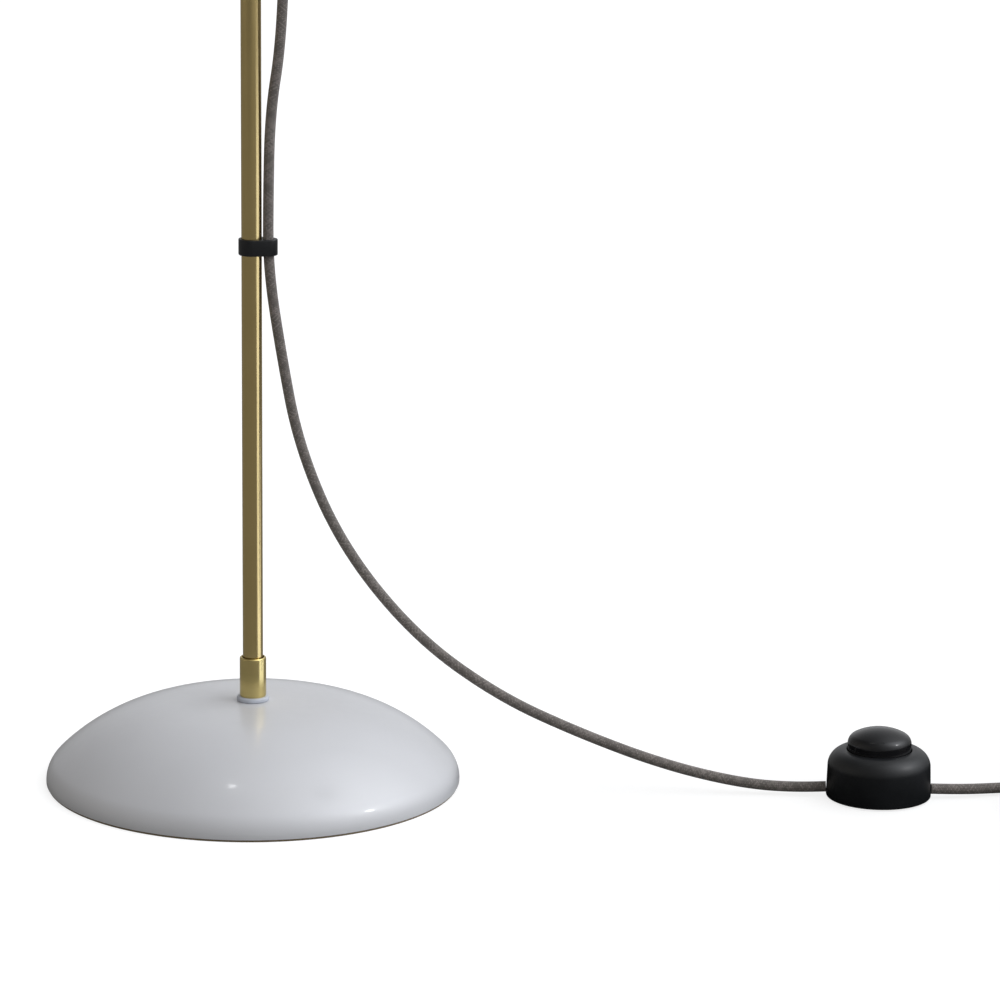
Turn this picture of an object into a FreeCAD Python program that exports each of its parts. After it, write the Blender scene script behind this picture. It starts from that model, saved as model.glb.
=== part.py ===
import FreeCAD, Part
import math
import os
from types import SimpleNamespace

import Sketcher
from FreeCAD import Placement, Rotation, Vector

# Arc floor lamp: a domed base, a straight pole, an arc arm that swivels on top of the pole
# and a dome shade on a tilting knuckle. The cord hangs outside the pole, runs through a foot
# switch on the floor and ends in a coiled lead with a plug.
# Millimetres, +Z up. The origin is the middle of the base, on the floor. The arm reaches to +X.

SIZES = {
    # base
    "pad_thick": 1.5,
    "pad_inset": 0.6,
    "dome_height": 52.2,
    "crown_radius": 555.0,
    "crown_angle": 5.0,
    "flank_radius": 120.5,
    "flank_angle": 45.0,
    "rim_radius": 18.0,
    "shell_thick": 1.5,
    "stud_radius": 4.95,
    "weight_radius": 116.0,
    "weight_thick": 24.5,
    "weight_hub": 16.0,
    "nut_room": 14.0,
    "nut_room_depth": 12.5,
    # pole
    "pole_radius": 6.25,
    "tube_wall": 1.25,
    "collar_radius": 10.0,
    "collar_top": 55.0,
    "ferrule_radius": 8.2,
    "ferrule_top": 80.0,
    "joint_z": 588.0,
    "joint_ring": 3.0,
    "joint_spigot": 25.0,
    "clip_z": 338.0,
    "clip_pitch": 500.0,
    "clip_tall": 10.0,
    "clip_reach": 10.2,
    "clip_pole_lobe": 8.1,
    "clip_cord_lobe": 5.8,
    # cord
    "cord_radius": 3.25,
    "cord_fit": 0.05,
    "flex_radius": 3.0,
    # junction block
    "block_z": 1100.0,
    "block_tall": 48.0,
    "block_floor": 12.0,
    "block_lobe": 13.0,
    "block_nose": 11.0,
    "block_wall": 3.5,
    "gland_x": 22.0,
    "lid_thick": 5.0,
    "lid_screw_radius": 1.25,
    "lid_screw_depth": 6.0,
    # arm
    "turn_gap": 0.4,
    "shank_radius": 5.5,
    "socket_radius": 9.0,
    "flange_radius": 12.0,
    "arc_radius": 285.0,
    "arc_foot": 44.0,
    "arc_sweep": 150.0,
    "fork_radius": 7.2,
    "fork_reach": 14.0,
    # shade
    "shade_apex": -31.0,
    "shade_crown": 125.0,
    "shade_corner": 90.0,
    "shade_radius": 115.0,
    "shade_lip": 3.0,
    "shade_thick": 1.2,
    # foot switch
    "switch_x": 388.1,
    "switch_y": -4.3,
    "switch_radius": 32.4,
    "switch_shoulder_z": 20.0,
    "switch_shoulder": 10.6,
    "switch_wall": 2.0,
    "entry_z": 5.8,
    "button_radius": 19.7,
    "button_top": 44.0,
    "button_cap": 9.0,
    "press": 3.5,
    "module_tall": 13.0,
    # coil of the mains lead
    "coil_x": 520.0,
    "coil_y": -18.4,
    "coil_inner": 29.3,
    "coil_outer": 42.8,
    "coil_low": 0.85,
    "coil_tall": 20.1,
    # plug
    "plug_x": 585.0,
    "plug_y": -68.0,
    "plug_thick": 13.7,
    "plug_width": 35.0,
    "plug_long": 36.0,
}


# ---- sizes that carry their sheet formula ----

class Size:
    """A number together with the sheet formula that gives it."""

    def __init__(self, value, formula):
        self.value = float(value)
        self.formula = formula

    def __add__(self, other):
        other = sized(other)
        return Size(self.value + other.value, f"({self.formula} + {other.formula})")

    def __sub__(self, other):
        other = sized(other)
        return Size(self.value - other.value, f"({self.formula} - {other.formula})")

    def __mul__(self, other):
        other = sized(other)
        return Size(self.value * other.value, f"({self.formula} * {other.formula})")

    def __truediv__(self, other):
        other = sized(other)
        return Size(self.value / other.value, f"({self.formula} / {other.formula})")

    def __neg__(self):
        return Size(-self.value, f"(0 - {self.formula})")

    def __radd__(self, other):
        return sized(other) + self

    def __rsub__(self, other):
        return sized(other) - self

    def __rmul__(self, other):
        return sized(other) * self


def sized(number):
    return number if isinstance(number, Size) else Size(number, f"({number})")


def root(size):
    return Size(math.sqrt(size.value), f"sqrt({size.formula})")


def sine(size):
    return Size(math.sin(math.radians(size.value)), f"sin({size.formula})")


def cosine(size):
    return Size(math.cos(math.radians(size.value)), f"cos({size.formula})")


doc = FreeCAD.newDocument("ArcFloorLamp")
sheet = doc.addObject("Spreadsheet::Sheet", "Sizes")
for row, (word, number) in enumerate(SIZES.items(), start=1):
    sheet.set(f"A{row}", word)
    sheet.set(f"B{row}", str(number))
    sheet.setAlias(f"B{row}", word)
doc.recompute()
size = SimpleNamespace(**{word: Size(number, f"Sizes.{word}") for word, number in SIZES.items()})
nodes = {}


# ---- sketches and features ----

def plane(body, role):
    return next(item for item in body.Origin.OriginFeatures if item.Role == role)


def new_sketch(body, name, role="XY_Plane"):
    sketch = body.newObject("Sketcher::SketchObject", name)
    sketch.AttachmentSupport = [(plane(body, role), "")]
    sketch.MapMode = "FlatFace"
    return sketch


def hold(sketch, kind, geometry, end, distance):
    """Ties one point of the sketch to the origin, across or up."""
    axis = -2 if kind == "DistanceX" else -1
    if distance.value == 0:
        sketch.addConstraint(Sketcher.Constraint("PointOnObject", geometry, end, axis))
        return
    number = sketch.addConstraint(
        Sketcher.Constraint(kind, -1, 1, geometry, end, distance.value)
    )
    sketch.setExpression(f"Constraints[{number}]", distance.formula)


def hold_radius(sketch, geometry, radius):
    number = sketch.addConstraint(Sketcher.Constraint("Radius", geometry, radius.value))
    sketch.setExpression(f"Constraints[{number}]", radius.formula)


def arc_between(start, end, bend):
    """Arc of signed radius: positive has its centre on the left of the way from start to end."""
    chord = end - start
    middle = (start + end) / 2
    left = Vector(-chord.y, chord.x, 0).normalize()
    offset = math.sqrt(max(bend * bend - chord.Length ** 2 / 4, 0))
    centre = middle + left * offset * (1 if bend > 0 else -1)
    first, last = (start, end) if bend > 0 else (end, start)
    angles = [math.atan2(p.y - centre.y, p.x - centre.x) for p in (first, last)]
    circle = Part.Circle(centre, Vector(0, 0, 1), abs(bend))
    return Part.ArcOfCircle(circle, angles[0], angles[1])


def trace(sketch, path, closed=True):
    """Lines and arcs through the path's points. A third value is the signed radius of the arc
    that arrives at that point, or for the first point of the arc that closes the outline."""
    points = [(sized(p[0]), sized(p[1])) for p in path]
    bends = [sized(p[2]) if len(p) > 2 else None for p in path]
    count = len(points) if closed else len(points) - 1
    ends = []
    for n in range(count):
        start = Vector(points[n][0].value, points[n][1].value, 0)
        after = (n + 1) % len(points)
        end = Vector(points[after][0].value, points[after][1].value, 0)
        bend = bends[after]
        if bend is None:
            sketch.addGeometry(Part.LineSegment(start, end))
            ends.append((1, 2))
        else:
            sketch.addGeometry(arc_between(start, end, bend.value))
            ends.append((1, 2) if bend.value > 0 else (2, 1))
    for n in range(count if closed else count - 1):
        after = (n + 1) % count
        sketch.addConstraint(Sketcher.Constraint("Coincident", n, ends[n][1], after, ends[after][0]))
    for n in range(count):
        hold(sketch, "DistanceX", n, ends[n][0], points[n][0])
        hold(sketch, "DistanceY", n, ends[n][0], points[n][1])
        bend = bends[(n + 1) % len(points)]
        if bend is not None:
            hold_radius(sketch, n, Size(abs(bend.value), f"abs({bend.formula})"))
    if not closed:
        hold(sketch, "DistanceX", count - 1, ends[-1][1], points[-1][0])
        hold(sketch, "DistanceY", count - 1, ends[-1][1], points[-1][1])


def ring(sketch, across, up, radius):
    across, up, radius = sized(across), sized(up), sized(radius)
    centre = Vector(across.value, up.value, 0)
    number = sketch.addGeometry(Part.Circle(centre, Vector(0, 0, 1), radius.value))
    hold(sketch, "DistanceX", number, 3, across)
    hold(sketch, "DistanceY", number, 3, up)
    hold_radius(sketch, number, radius)


def place(thing, x=0, y=0, z=0, turn=None):
    """Puts a sub-part at x, y, z, with each distance bound to the sheet."""
    spot = [sized(x), sized(y), sized(z)]
    turn = turn or Rotation()
    thing.Placement = Placement(Vector(*[s.value for s in spot]), turn)
    for axis, s in zip("xyz", spot):
        if s.value != 0:
            thing.setExpression(f"Placement.Base.{axis}", s.formula)
    return thing


def new_body(label):
    body = doc.addObject("PartDesign::Body", label)
    body.Label = label
    return body


def finish(label, thing):
    """Names a sub-part and lists it for writing."""
    thing.Label = label
    nodes[label] = thing
    return thing


def turned(label, path, x=0, y=0, z=0, turn=None, listed=True):
    """Body turned about the Z axis from an outline of radius and height."""
    body = new_body(label)
    sketch = new_sketch(body, f"{label}_outline", "XZ_Plane")
    trace(sketch, path)
    spin = body.newObject("PartDesign::Revolution", f"{label}_turned")
    spin.Profile = sketch
    spin.ReferenceAxis = (sketch, ["V_Axis"])
    spin.Angle = 360
    place(body, x, y, z, turn)
    return finish(label, body) if listed else body


def pad(body, sketch, length, name="pad"):
    feature = body.newObject("PartDesign::Pad", f"{body.Name}_{name}")
    feature.Profile = sketch
    feature.setExpression("Length", sized(length).formula)
    doc.recompute()
    return feature


def pocket(body, sketch, depth=None, reverse=False, name="pocket"):
    """Cuts a sketch into the body, through all both ways when no depth is given."""
    before = body.Shape.Volume
    feature = body.newObject("PartDesign::Pocket", f"{body.Name}_{name}")
    feature.Profile = sketch
    feature.Reversed = reverse
    if depth is None:
        feature.Type = "ThroughAll"
        feature.Midplane = True
    else:
        feature.setExpression("Length", sized(depth).formula)
    doc.recompute()
    if body.Shape.Volume >= before - 0.01:
        raise ValueError(f"{feature.Name} cuts nothing")
    return feature


def hex_nut(label, across_flats, hole, thick, x=0, y=0, z=0, turn=None):
    prism = doc.addObject("Part::Prism", f"{label}_hexagon")
    prism.Polygon = 6
    prism.setExpression("Circumradius", (sized(across_flats) / 1.7320508).formula)
    prism.setExpression("Height", sized(thick).formula)
    bore = doc.addObject("Part::Cylinder", f"{label}_bore")
    bore.setExpression("Radius", sized(hole).formula)
    bore.setExpression("Height", sized(thick).formula)
    cut = doc.addObject("Part::Cut", label)
    cut.Base = prism
    cut.Tool = bore
    place(cut, x, y, z, turn)
    return finish(label, cut)


def rod(label, radius, length, x=0, y=0, z=0, turn=None, listed=True):
    cylinder = doc.addObject("Part::Cylinder", label)
    cylinder.setExpression("Radius", sized(radius).formula)
    cylinder.setExpression("Height", sized(length).formula)
    place(cylinder, x, y, z, turn)
    return finish(label, cylinder) if listed else cylinder


def block(label, long, wide, tall, x=0, y=0, z=0, turn=None, listed=True):
    box = doc.addObject("Part::Box", label)
    box.setExpression("Length", sized(long).formula)
    box.setExpression("Width", sized(wide).formula)
    box.setExpression("Height", sized(tall).formula)
    place(box, x, y, z, turn)
    return finish(label, box) if listed else box


def grouped(label, things):
    """Separate identical pieces kept as one node."""
    group = doc.addObject("Part::Compound", label)
    group.Links = things
    return finish(label, group)


def hull_path(big, small, reach):
    """Outline round a big circle at the origin and a small one at reach along X."""
    lean = (big - small) / reach
    rise = root(1 - lean * lean)
    return [
        (big * lean, big * rise),
        (-big, 0, big),
        (big * lean, -(big * rise), big),
        (reach + small * lean, -(small * rise)),
        (reach + small, 0, small),
        (reach + small * lean, small * rise, small),
    ]


ALONG_X = Rotation(Vector(0, 1, 0), 90)
ALONG_BACK = Rotation(Vector(1, 0, 0), -90)
ALONG_FRONT = Rotation(Vector(1, 0, 0), 90)


# ---- base ----

def dome_path(thinner, hole):
    """Outer line of the dome from its hole to its rim, moved in by thinner."""
    crown_z = size.dome_height - size.crown_radius
    crown = size.crown_radius - thinner
    flank = size.flank_radius - thinner
    rim = size.rim_radius - thinner
    step = size.crown_radius - size.flank_radius
    flank_x = step * sine(size.crown_angle)
    flank_z = crown_z + step * cosine(size.crown_angle)
    inward = size.flank_radius - size.rim_radius
    rim_x = flank_x + inward * sine(size.flank_angle)
    rim_z = flank_z + inward * cosine(size.flank_angle)
    drop = rim_z - size.pad_thick
    return [
        (hole, crown_z + root(crown * crown - hole * hole)),
        (crown * sine(size.crown_angle), crown_z + crown * cosine(size.crown_angle)),
        (flank_x + flank * sine(size.flank_angle), flank_z + flank * cosine(size.flank_angle)),
        (rim_x + root(rim * rim - drop * drop), size.pad_thick),
    ], [crown, flank, rim]


def make_base():
    hole = size.stud_radius + 0.25
    outer, outer_radii = dome_path(sized(0), hole)
    inner, inner_radii = dome_path(size.shell_thick, hole)
    path = [outer[0]]
    path += [(u, v, -r) for (u, v), r in zip(outer[1:], outer_radii)]
    path += [inner[3]]
    path += [(u, v, r) for (u, v), r in zip(inner[2::-1], inner_radii[::-1])]
    turned("base_shell", path)
    rod("base_pad", outer[3][0] - size.pad_inset, size.pad_thick)

    low = size.pad_thick
    room_top = low + size.nut_room_depth
    shoulder = low + size.weight_thick
    hub_top = size.dome_height - size.shell_thick - 0.6
    turned("base_weight", [
        (hole, room_top),
        (size.nut_room, room_top),
        (size.nut_room, low),
        (size.weight_radius, low),
        (size.weight_radius, low + 10),
        (size.weight_radius - 16, shoulder - 5),
        (size.weight_radius - 36, shoulder),
        (size.weight_hub, shoulder),
        (size.weight_hub, hub_top),
        (hole, hub_top),
    ])
    washer = 2.0
    nut = 7.5
    turned("base_washer", [
        (hole, room_top - washer),
        (size.nut_room - 2, room_top - washer),
        (size.nut_room - 2, room_top),
        (hole, room_top),
    ])
    hex_nut("base_nut", 17, size.stud_radius + 0.03, nut, z=room_top - washer - nut)
    stud_low = low + 1.5
    turned("base_stud", [
        (0, stud_low),
        (size.stud_radius - 0.8, stud_low),
        (size.stud_radius, stud_low + 0.8),
        (size.stud_radius, size.ferrule_top - 5.8),
        (size.stud_radius - 0.8, size.ferrule_top - 5),
        (0, size.ferrule_top - 5),
    ])


# ---- pole ----

def tube(label, low, high):
    inner = size.pole_radius - size.tube_wall
    turned(label, [(inner, low), (size.pole_radius, low), (size.pole_radius, high), (inner, high)])


def make_pole():
    bore = size.pole_radius + 0.05
    foot = size.dome_height + 0.05
    edge = 0.8
    turned("pole_collar", [
        (bore, foot),
        (size.collar_radius - 0.4, foot),
        (size.collar_radius, foot + 0.4),
        (size.collar_radius, size.collar_top - edge),
        (size.collar_radius - edge, size.collar_top, edge),
        (bore, size.collar_top),
    ])
    lip = 1.0
    turned("pole_ferrule", [
        (bore, size.collar_top),
        (size.ferrule_radius - 0.2, size.collar_top),
        (size.ferrule_radius, size.collar_top + 0.2),
        (size.ferrule_radius, size.ferrule_top - lip),
        (size.ferrule_radius - lip, size.ferrule_top, lip),
        (bore, size.ferrule_top),
    ])
    tube("lower_pole", foot, size.joint_z)
    tube("upper_pole", size.joint_z + size.joint_ring, size.block_z + size.block_floor - 2)
    spigot = size.pole_radius - size.tube_wall - 0.03
    waist = size.pole_radius - 0.4
    groove = size.joint_z + size.joint_ring / 2
    turned("pole_joiner", [
        (3, size.joint_z - size.joint_spigot),
        (spigot, size.joint_z - size.joint_spigot),
        (spigot, size.joint_z),
        (size.pole_radius, size.joint_z),
        (size.pole_radius, groove - 0.6),
        (waist, groove),
        (size.pole_radius, groove + 0.6),
        (size.pole_radius, size.joint_z + size.joint_ring),
        (spigot, size.joint_z + size.joint_ring),
        (spigot, size.joint_z + size.joint_ring + size.joint_spigot),
        (3, size.joint_z + size.joint_ring + size.joint_spigot),
    ])


def make_cord_clip(label, middle):
    """Band round the pole and the cord beside it."""
    body = new_body(label)
    outline = new_sketch(body, f"{label}_band")
    trace(outline, hull_path(size.clip_pole_lobe, size.clip_cord_lobe, size.clip_reach))
    pad(body, outline, size.clip_tall)
    holes = new_sketch(body, f"{label}_holes")
    ring(holes, 0, 0, size.pole_radius + 0.03)
    ring(holes, size.clip_reach, 0, size.cord_radius + size.cord_fit)
    pocket(body, holes)
    place(body, z=middle - size.clip_tall / 2)
    finish(label, body)


# ---- junction block on top of the pole ----

def make_junction():
    body = new_body("junction_block")
    outline = new_sketch(body, "block_outline")
    trace(outline, hull_path(size.block_lobe, size.block_nose, size.gland_x))
    pad(body, outline, size.block_tall)
    chamber = new_sketch(body, "block_chamber")
    chamber.AttachmentOffset = Placement(Vector(0, 0, SIZES["block_floor"]), Rotation())
    chamber.setExpression("AttachmentOffset.Base.z", size.block_floor.formula)
    lobe = size.block_lobe - size.block_wall
    nose = size.block_nose - size.block_wall
    trace(chamber, hull_path(lobe, nose, size.gland_x))
    pocket(body, chamber, size.block_tall, reverse=True, name="chamber")
    pole_hole = new_sketch(body, "block_pole_hole")
    ring(pole_hole, 0, 0, size.pole_radius + 0.03)
    pocket(body, pole_hole, size.block_floor - 2, reverse=True, name="pole_hole")
    gland_hole = new_sketch(body, "block_gland_hole")
    ring(gland_hole, size.gland_x, 0, 5)
    pocket(body, gland_hole, size.block_floor + 1, reverse=True, name="gland_hole")
    grub_hole = new_sketch(body, "block_grub_hole", "YZ_Plane")
    ring(grub_hole, 0, 6, 1.5)
    pocket(body, grub_hole, size.block_lobe, name="grub_hole")
    tapped = new_sketch(body, "block_tapped_holes")
    tapped_floor = size.block_tall - size.lid_screw_depth - 1
    tapped.AttachmentOffset = Placement(Vector(0, 0, tapped_floor.value), Rotation())
    tapped.setExpression("AttachmentOffset.Base.z", tapped_floor.formula)
    end_wall = size.gland_x + size.block_nose - size.block_wall / 2
    spots = [(end_wall, sized(0))]
    spots += [(size.gland_x / 2, side * (size.block_lobe - 3)) for side in (-1, 1)]
    for across, up in spots:
        ring(tapped, across, up, size.lid_screw_radius + 0.02)
    pocket(body, tapped, size.block_tall, reverse=True, name="tapped_holes")
    place(body, z=size.block_z)
    finish("junction_block", body)

    rod("block_grub_screw", 1.45, 6.2, x=-(size.block_lobe - 0.4), z=size.block_z + 6, turn=ALONG_X)

    lid = new_body("junction_lid")
    outline = new_sketch(lid, "lid_outline")
    trace(outline, hull_path(size.block_lobe, size.block_nose, size.gland_x))
    pad(lid, outline, size.lid_thick)
    holes = new_sketch(lid, "lid_holes")
    ring(holes, 0, 0, 7.6)
    ring(holes, -9.8, 0, 0.92)
    pocket(lid, holes)
    screw_holes = new_sketch(lid, "lid_screw_holes")
    for across, up in spots:
        ring(screw_holes, across, up, size.lid_screw_radius + 0.05)
    pocket(lid, screw_holes, name="screw_holes")
    lid_z = size.block_z + size.block_tall
    place(lid, z=lid_z)
    finish("junction_lid", lid)

    screws = []
    for n, (x, y) in enumerate(spots):
        screws.append(turned(f"lid_screw_{n}", [
            (0, -size.lid_screw_depth),
            (size.lid_screw_radius, -size.lid_screw_depth),
            (size.lid_screw_radius, size.lid_thick + 0.05),
            (2.3, size.lid_thick + 0.05),
            (2.3, size.lid_thick + 0.7),
            (1.5, size.lid_thick + 1.3),
            (0, size.lid_thick + 1.3),
        ], x, y, lid_z, listed=False))
    grouped("lid_screws", screws)

    top = lid_z + size.lid_thick
    shank = size.shank_radius + 0.05
    turned("pivot_bush", [
        (shank, lid_z - 2.5),
        (9, lid_z - 2.5),
        (9, lid_z - 0.1),
        (7.55, lid_z - 0.1),
        (7.55, top + 0.1),
        (shank, top + 0.1),
    ])
    rod("stop_pin", 0.9, 6, x=-9.8, z=lid_z + 0.5)


def make_gland():
    """Strain relief that points straight down from the block."""
    bore = size.cord_radius + size.cord_fit
    thread_top = size.block_floor + 3
    turned("cord_gland", [
        (bore, -26),
        (bore + 0.9, -26),
        (bore + 2.4, -6),
        (7, -5.5),
        (7, -0.1),
        (4.95, -0.1),
        (4.95, thread_top),
        (bore, thread_top),
    ], x=size.gland_x, z=size.block_z)
    hex_nut("gland_nut", 12, 5, 2.5, x=size.gland_x, z=size.block_z + size.block_floor)


# ---- cords: straight runs joined by arcs as large as the runs allow ----

ARC_SHARE = 0.45


def arc_joined(points):
    """Wire through the points, each corner rounded as far as its shorter run allows."""
    edges = []
    radii = []
    at = points[0]
    for before, corner, after in zip(points, points[1:], points[2:]):
        back = before - corner
        ahead = after - corner
        turn = math.pi - back.getAngle(ahead)
        cut = ARC_SHARE * min(back.Length, ahead.Length)
        radius = cut / math.tan(turn / 2)
        back.normalize()
        ahead.normalize()
        start = corner + back * cut
        end = corner + ahead * cut
        inward = (back + ahead).normalize()
        middle = corner + inward * (radius / math.cos(turn / 2) - radius)
        edges.append(Part.LineSegment(at, start).toShape())
        edges.append(Part.Arc(start, middle, end).toShape())
        radii.append(radius)
        at = end
    edges.append(Part.LineSegment(at, points[-1]).toShape())
    return Part.Wire(edges), radii


def cord(label, points, radius=None):
    """Round cord along the points, as one solid whose volume is checked."""
    radius = (radius or size.cord_radius).value
    wire, radii = arc_joined([Vector(*p) for p in points])
    start = Vector(*points[0])
    along = Vector(*points[1]) - start
    end_face = Part.Face(Part.Wire(Part.Circle(start, along, radius).toShape()))
    solid = wire.makePipe(end_face)
    expected = math.pi * radius ** 2 * wire.Length
    ratio = solid.Volume / expected
    print(f"{label}: length {wire.Length:.1f}, radii {min(radii):.0f} and up, volume ratio {ratio:.4f}")
    if abs(ratio - 1) > 0.01:
        raise ValueError(f"{label} has the wrong volume")
    thing = doc.addObject("Part::Feature", label)
    thing.Shape = solid
    return finish(label, thing)


def lamp_cord_route():
    """From the gland down beside the pole, through both clips, then out to the foot switch."""
    x = SIZES["clip_reach"]
    low = SIZES["clip_z"]
    high = low + SIZES["clip_pitch"]
    exit_x = SIZES["gland_x"]
    exit_z = SIZES["block_z"] - 26.0
    entry = (SIZES["switch_x"] - SIZES["switch_radius"], SIZES["switch_y"], SIZES["entry_z"])
    return [
        (exit_x, 0, exit_z),
        (exit_x, 0, exit_z - 40),
        (20.6, 0.4, 970),
        (14.6, 0.6, 918),
        (x, 0, high + 31),
        (x, 0, high - 31),
        (13.4, -0.4, 742),
        (18.6, -0.6, 672),
        (21.2, -0.4, 598),
        (20.8, 0, 530),
        (18.2, 0.2, 462),
        (11.4, 0.2, 420),
        (x, 0, low + 28),
        (x, 0, low - 14),
        (17.4, -0.1, 275),
        (28.6, -0.2, 214),
        (55, -0.6, 152),
        (100, -1.2, 96),
        (152, -1.8, 58.5),
        (205, -2.4, 35),
        (255, -3.0, 17.2),
        (300, -3.6, 7.0),
        (334, -4.1, 4.4),
        entry,
    ]


def mains_cord_route():
    """From the foot switch to the coil's first turn."""
    entry = (SIZES["switch_x"] + SIZES["switch_radius"], SIZES["switch_y"], SIZES["entry_z"])
    return [
        entry,
        (439, -2.6, 5.2),
        (465, 6.4, 4.2),
        (494, 13.4, 4.1),
    ]


def plug_tail_route():
    """From the coil's last turn to the plug's strain relief."""
    relief_end = (SIZES["plug_x"], SIZES["plug_y"] + 26.0, SIZES["plug_thick"] / 2)
    return [
        (545.3, 11.8, 4.1),
        (563, -4, 4.2),
        (578, -21, 5.6),
        relief_end,
    ]


def make_cords():
    cord("lamp_cord", lamp_cord_route())
    cord("mains_cord", mains_cord_route())
    cord("plug_tail", plug_tail_route())
    turned("cord_coil", [
        (size.coil_inner, size.coil_low + 2),
        (size.coil_inner + 2, size.coil_low, 2),
        (size.coil_outer - 2, size.coil_low),
        (size.coil_outer, size.coil_low + 2, 2),
        (size.coil_outer, size.coil_low + size.coil_tall - 2),
        (size.coil_outer - 2, size.coil_low + size.coil_tall, 2),
        (size.coil_inner + 2, size.coil_low + size.coil_tall),
        (size.coil_inner, size.coil_low + size.coil_tall - 2, 2),
    ], size.coil_x, size.coil_y)
    strap_wide = 12.0
    strap = 0.8
    deep = size.coil_outer - size.coil_inner + 1
    outer = block("tie_outside", strap_wide, deep + 2 * strap, size.coil_tall + 2 * strap, listed=False)
    inner = block("tie_inside", strap_wide, deep, size.coil_tall, listed=False)
    place(inner, y=strap, z=strap)
    tie = doc.addObject("Part::Cut", "coil_tie")
    tie.Base = outer
    tie.Tool = inner
    place(tie, size.coil_x - strap_wide / 2, size.coil_y - size.coil_outer - 0.2 - strap, 0.05)
    finish("coil_tie", tie)


def make_plug():
    """Two-pin plug lying flat, with a tapered strain relief."""
    body = new_body("plug_body")
    outline = new_sketch(body, "plug_outline")
    half = size.plug_width / 2
    trace(outline, [
        (-8, 0),
        (-9.5, -6),
        (-half, -22),
        (-half, -size.plug_long),
        (half, -size.plug_long),
        (half, -22),
        (9.5, -6),
        (8, 0),
    ])
    slab = pad(body, outline, size.plug_thick)
    edges = [
        f"Edge{n}" for n, edge in enumerate(body.Shape.Edges, start=1)
        if abs(edge.BoundBox.ZLength) < 0.01
    ]
    rounding = body.newObject("PartDesign::Fillet", "plug_rounding")
    rounding.Base = (slab, edges)
    rounding.Radius = 2.5
    place(body, size.plug_x, size.plug_y)
    finish("plug_body", body)
    bore = size.cord_radius + size.cord_fit
    turned("plug_relief", [
        (bore, 0.05),
        (6.2, 0.05),
        (4.3, 26),
        (bore, 26),
    ], size.plug_x, size.plug_y, size.plug_thick / 2, ALONG_BACK)
    pins = []
    for side in (-1, 1):
        pins.append(turned(f"plug_pin_{side}", [
            (0, 0.05),
            (2, 0.05),
            (2, 18),
            (1, 19, 1),
            (0, 19),
        ], size.plug_x + side * 9.5, size.plug_y - size.plug_long, size.plug_thick / 2,
            ALONG_FRONT, listed=False))
    grouped("plug_pins", pins)


# ---- arm ----

def make_arm():
    base = size.block_z + size.block_tall + size.lid_thick
    flange = base + size.turn_gap + 0.2
    socket_top = base + 26
    seat = base + 7
    bore = 3.6
    edge = 1.0
    body = turned("arm_socket_blank", [
        (bore, base - 11),
        (size.shank_radius, base - 11),
        (size.shank_radius, flange),
        (size.flange_radius, flange),
        (size.flange_radius, flange + 3.4),
        (size.flange_radius - edge, flange + 3.4 + edge, edge),
        (size.socket_radius, flange + 3.4 + edge),
        (size.socket_radius, socket_top - edge),
        (size.socket_radius - edge, socket_top, edge),
        (size.pole_radius + 0.03, socket_top),
        (size.pole_radius + 0.03, seat),
        (bore, seat),
    ], listed=False)
    groove_out = rod("stop_groove_outside", 11, 2, z=flange, listed=False)
    groove_in = rod("stop_groove_inside", 8.6, 2, z=flange, listed=False)
    groove_turn = Rotation(Vector(0, 0, 1), 4)
    groove_out.Angle = 352
    groove_out.Placement = Placement(groove_out.Placement.Base, groove_turn)
    groove = doc.addObject("Part::Cut", "stop_groove")
    groove.Base = groove_out
    groove.Tool = groove_in
    socket = doc.addObject("Part::Cut", "arm_socket")
    socket.Base = body
    socket.Tool = groove
    finish("arm_socket", socket)

    hex_nut("swivel_nut", 14, size.shank_radius + 0.02, 2.2, z=base - 10.8)
    turned("swivel_washer", [
        (size.shank_radius + 0.05, base - 8.6),
        (8.4, base - 8.6),
        (8.4, base - 7.9),
        (size.shank_radius + 0.05, base - 7.9),
    ])

    arc = new_body("arc_tube")
    spine = new_sketch(arc, "arc_path", "XZ_Plane")
    end_x = size.arc_radius * (1 - cosine(size.arc_sweep))
    end_z = size.arc_foot + size.arc_radius * sine(size.arc_sweep)
    top_z = size.arc_foot + size.arc_radius
    trace(spine, [
        (0, 0),
        (0, size.arc_foot),
        (size.arc_radius, top_z, -size.arc_radius),
        (end_x, end_z, -size.arc_radius),
    ], closed=False)
    section = new_sketch(arc, "arc_section")
    ring(section, 0, 0, size.pole_radius)
    ring(section, 0, 0, size.pole_radius - size.tube_wall)
    sweep = arc.newObject("PartDesign::AdditivePipe", "arc_sweep")
    sweep.Profile = section
    sweep.Spine = (spine, ["Edge1", "Edge2", "Edge3"])
    place(arc, z=seat)
    finish("arc_tube", arc)
    return end_x, seat + end_z


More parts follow.
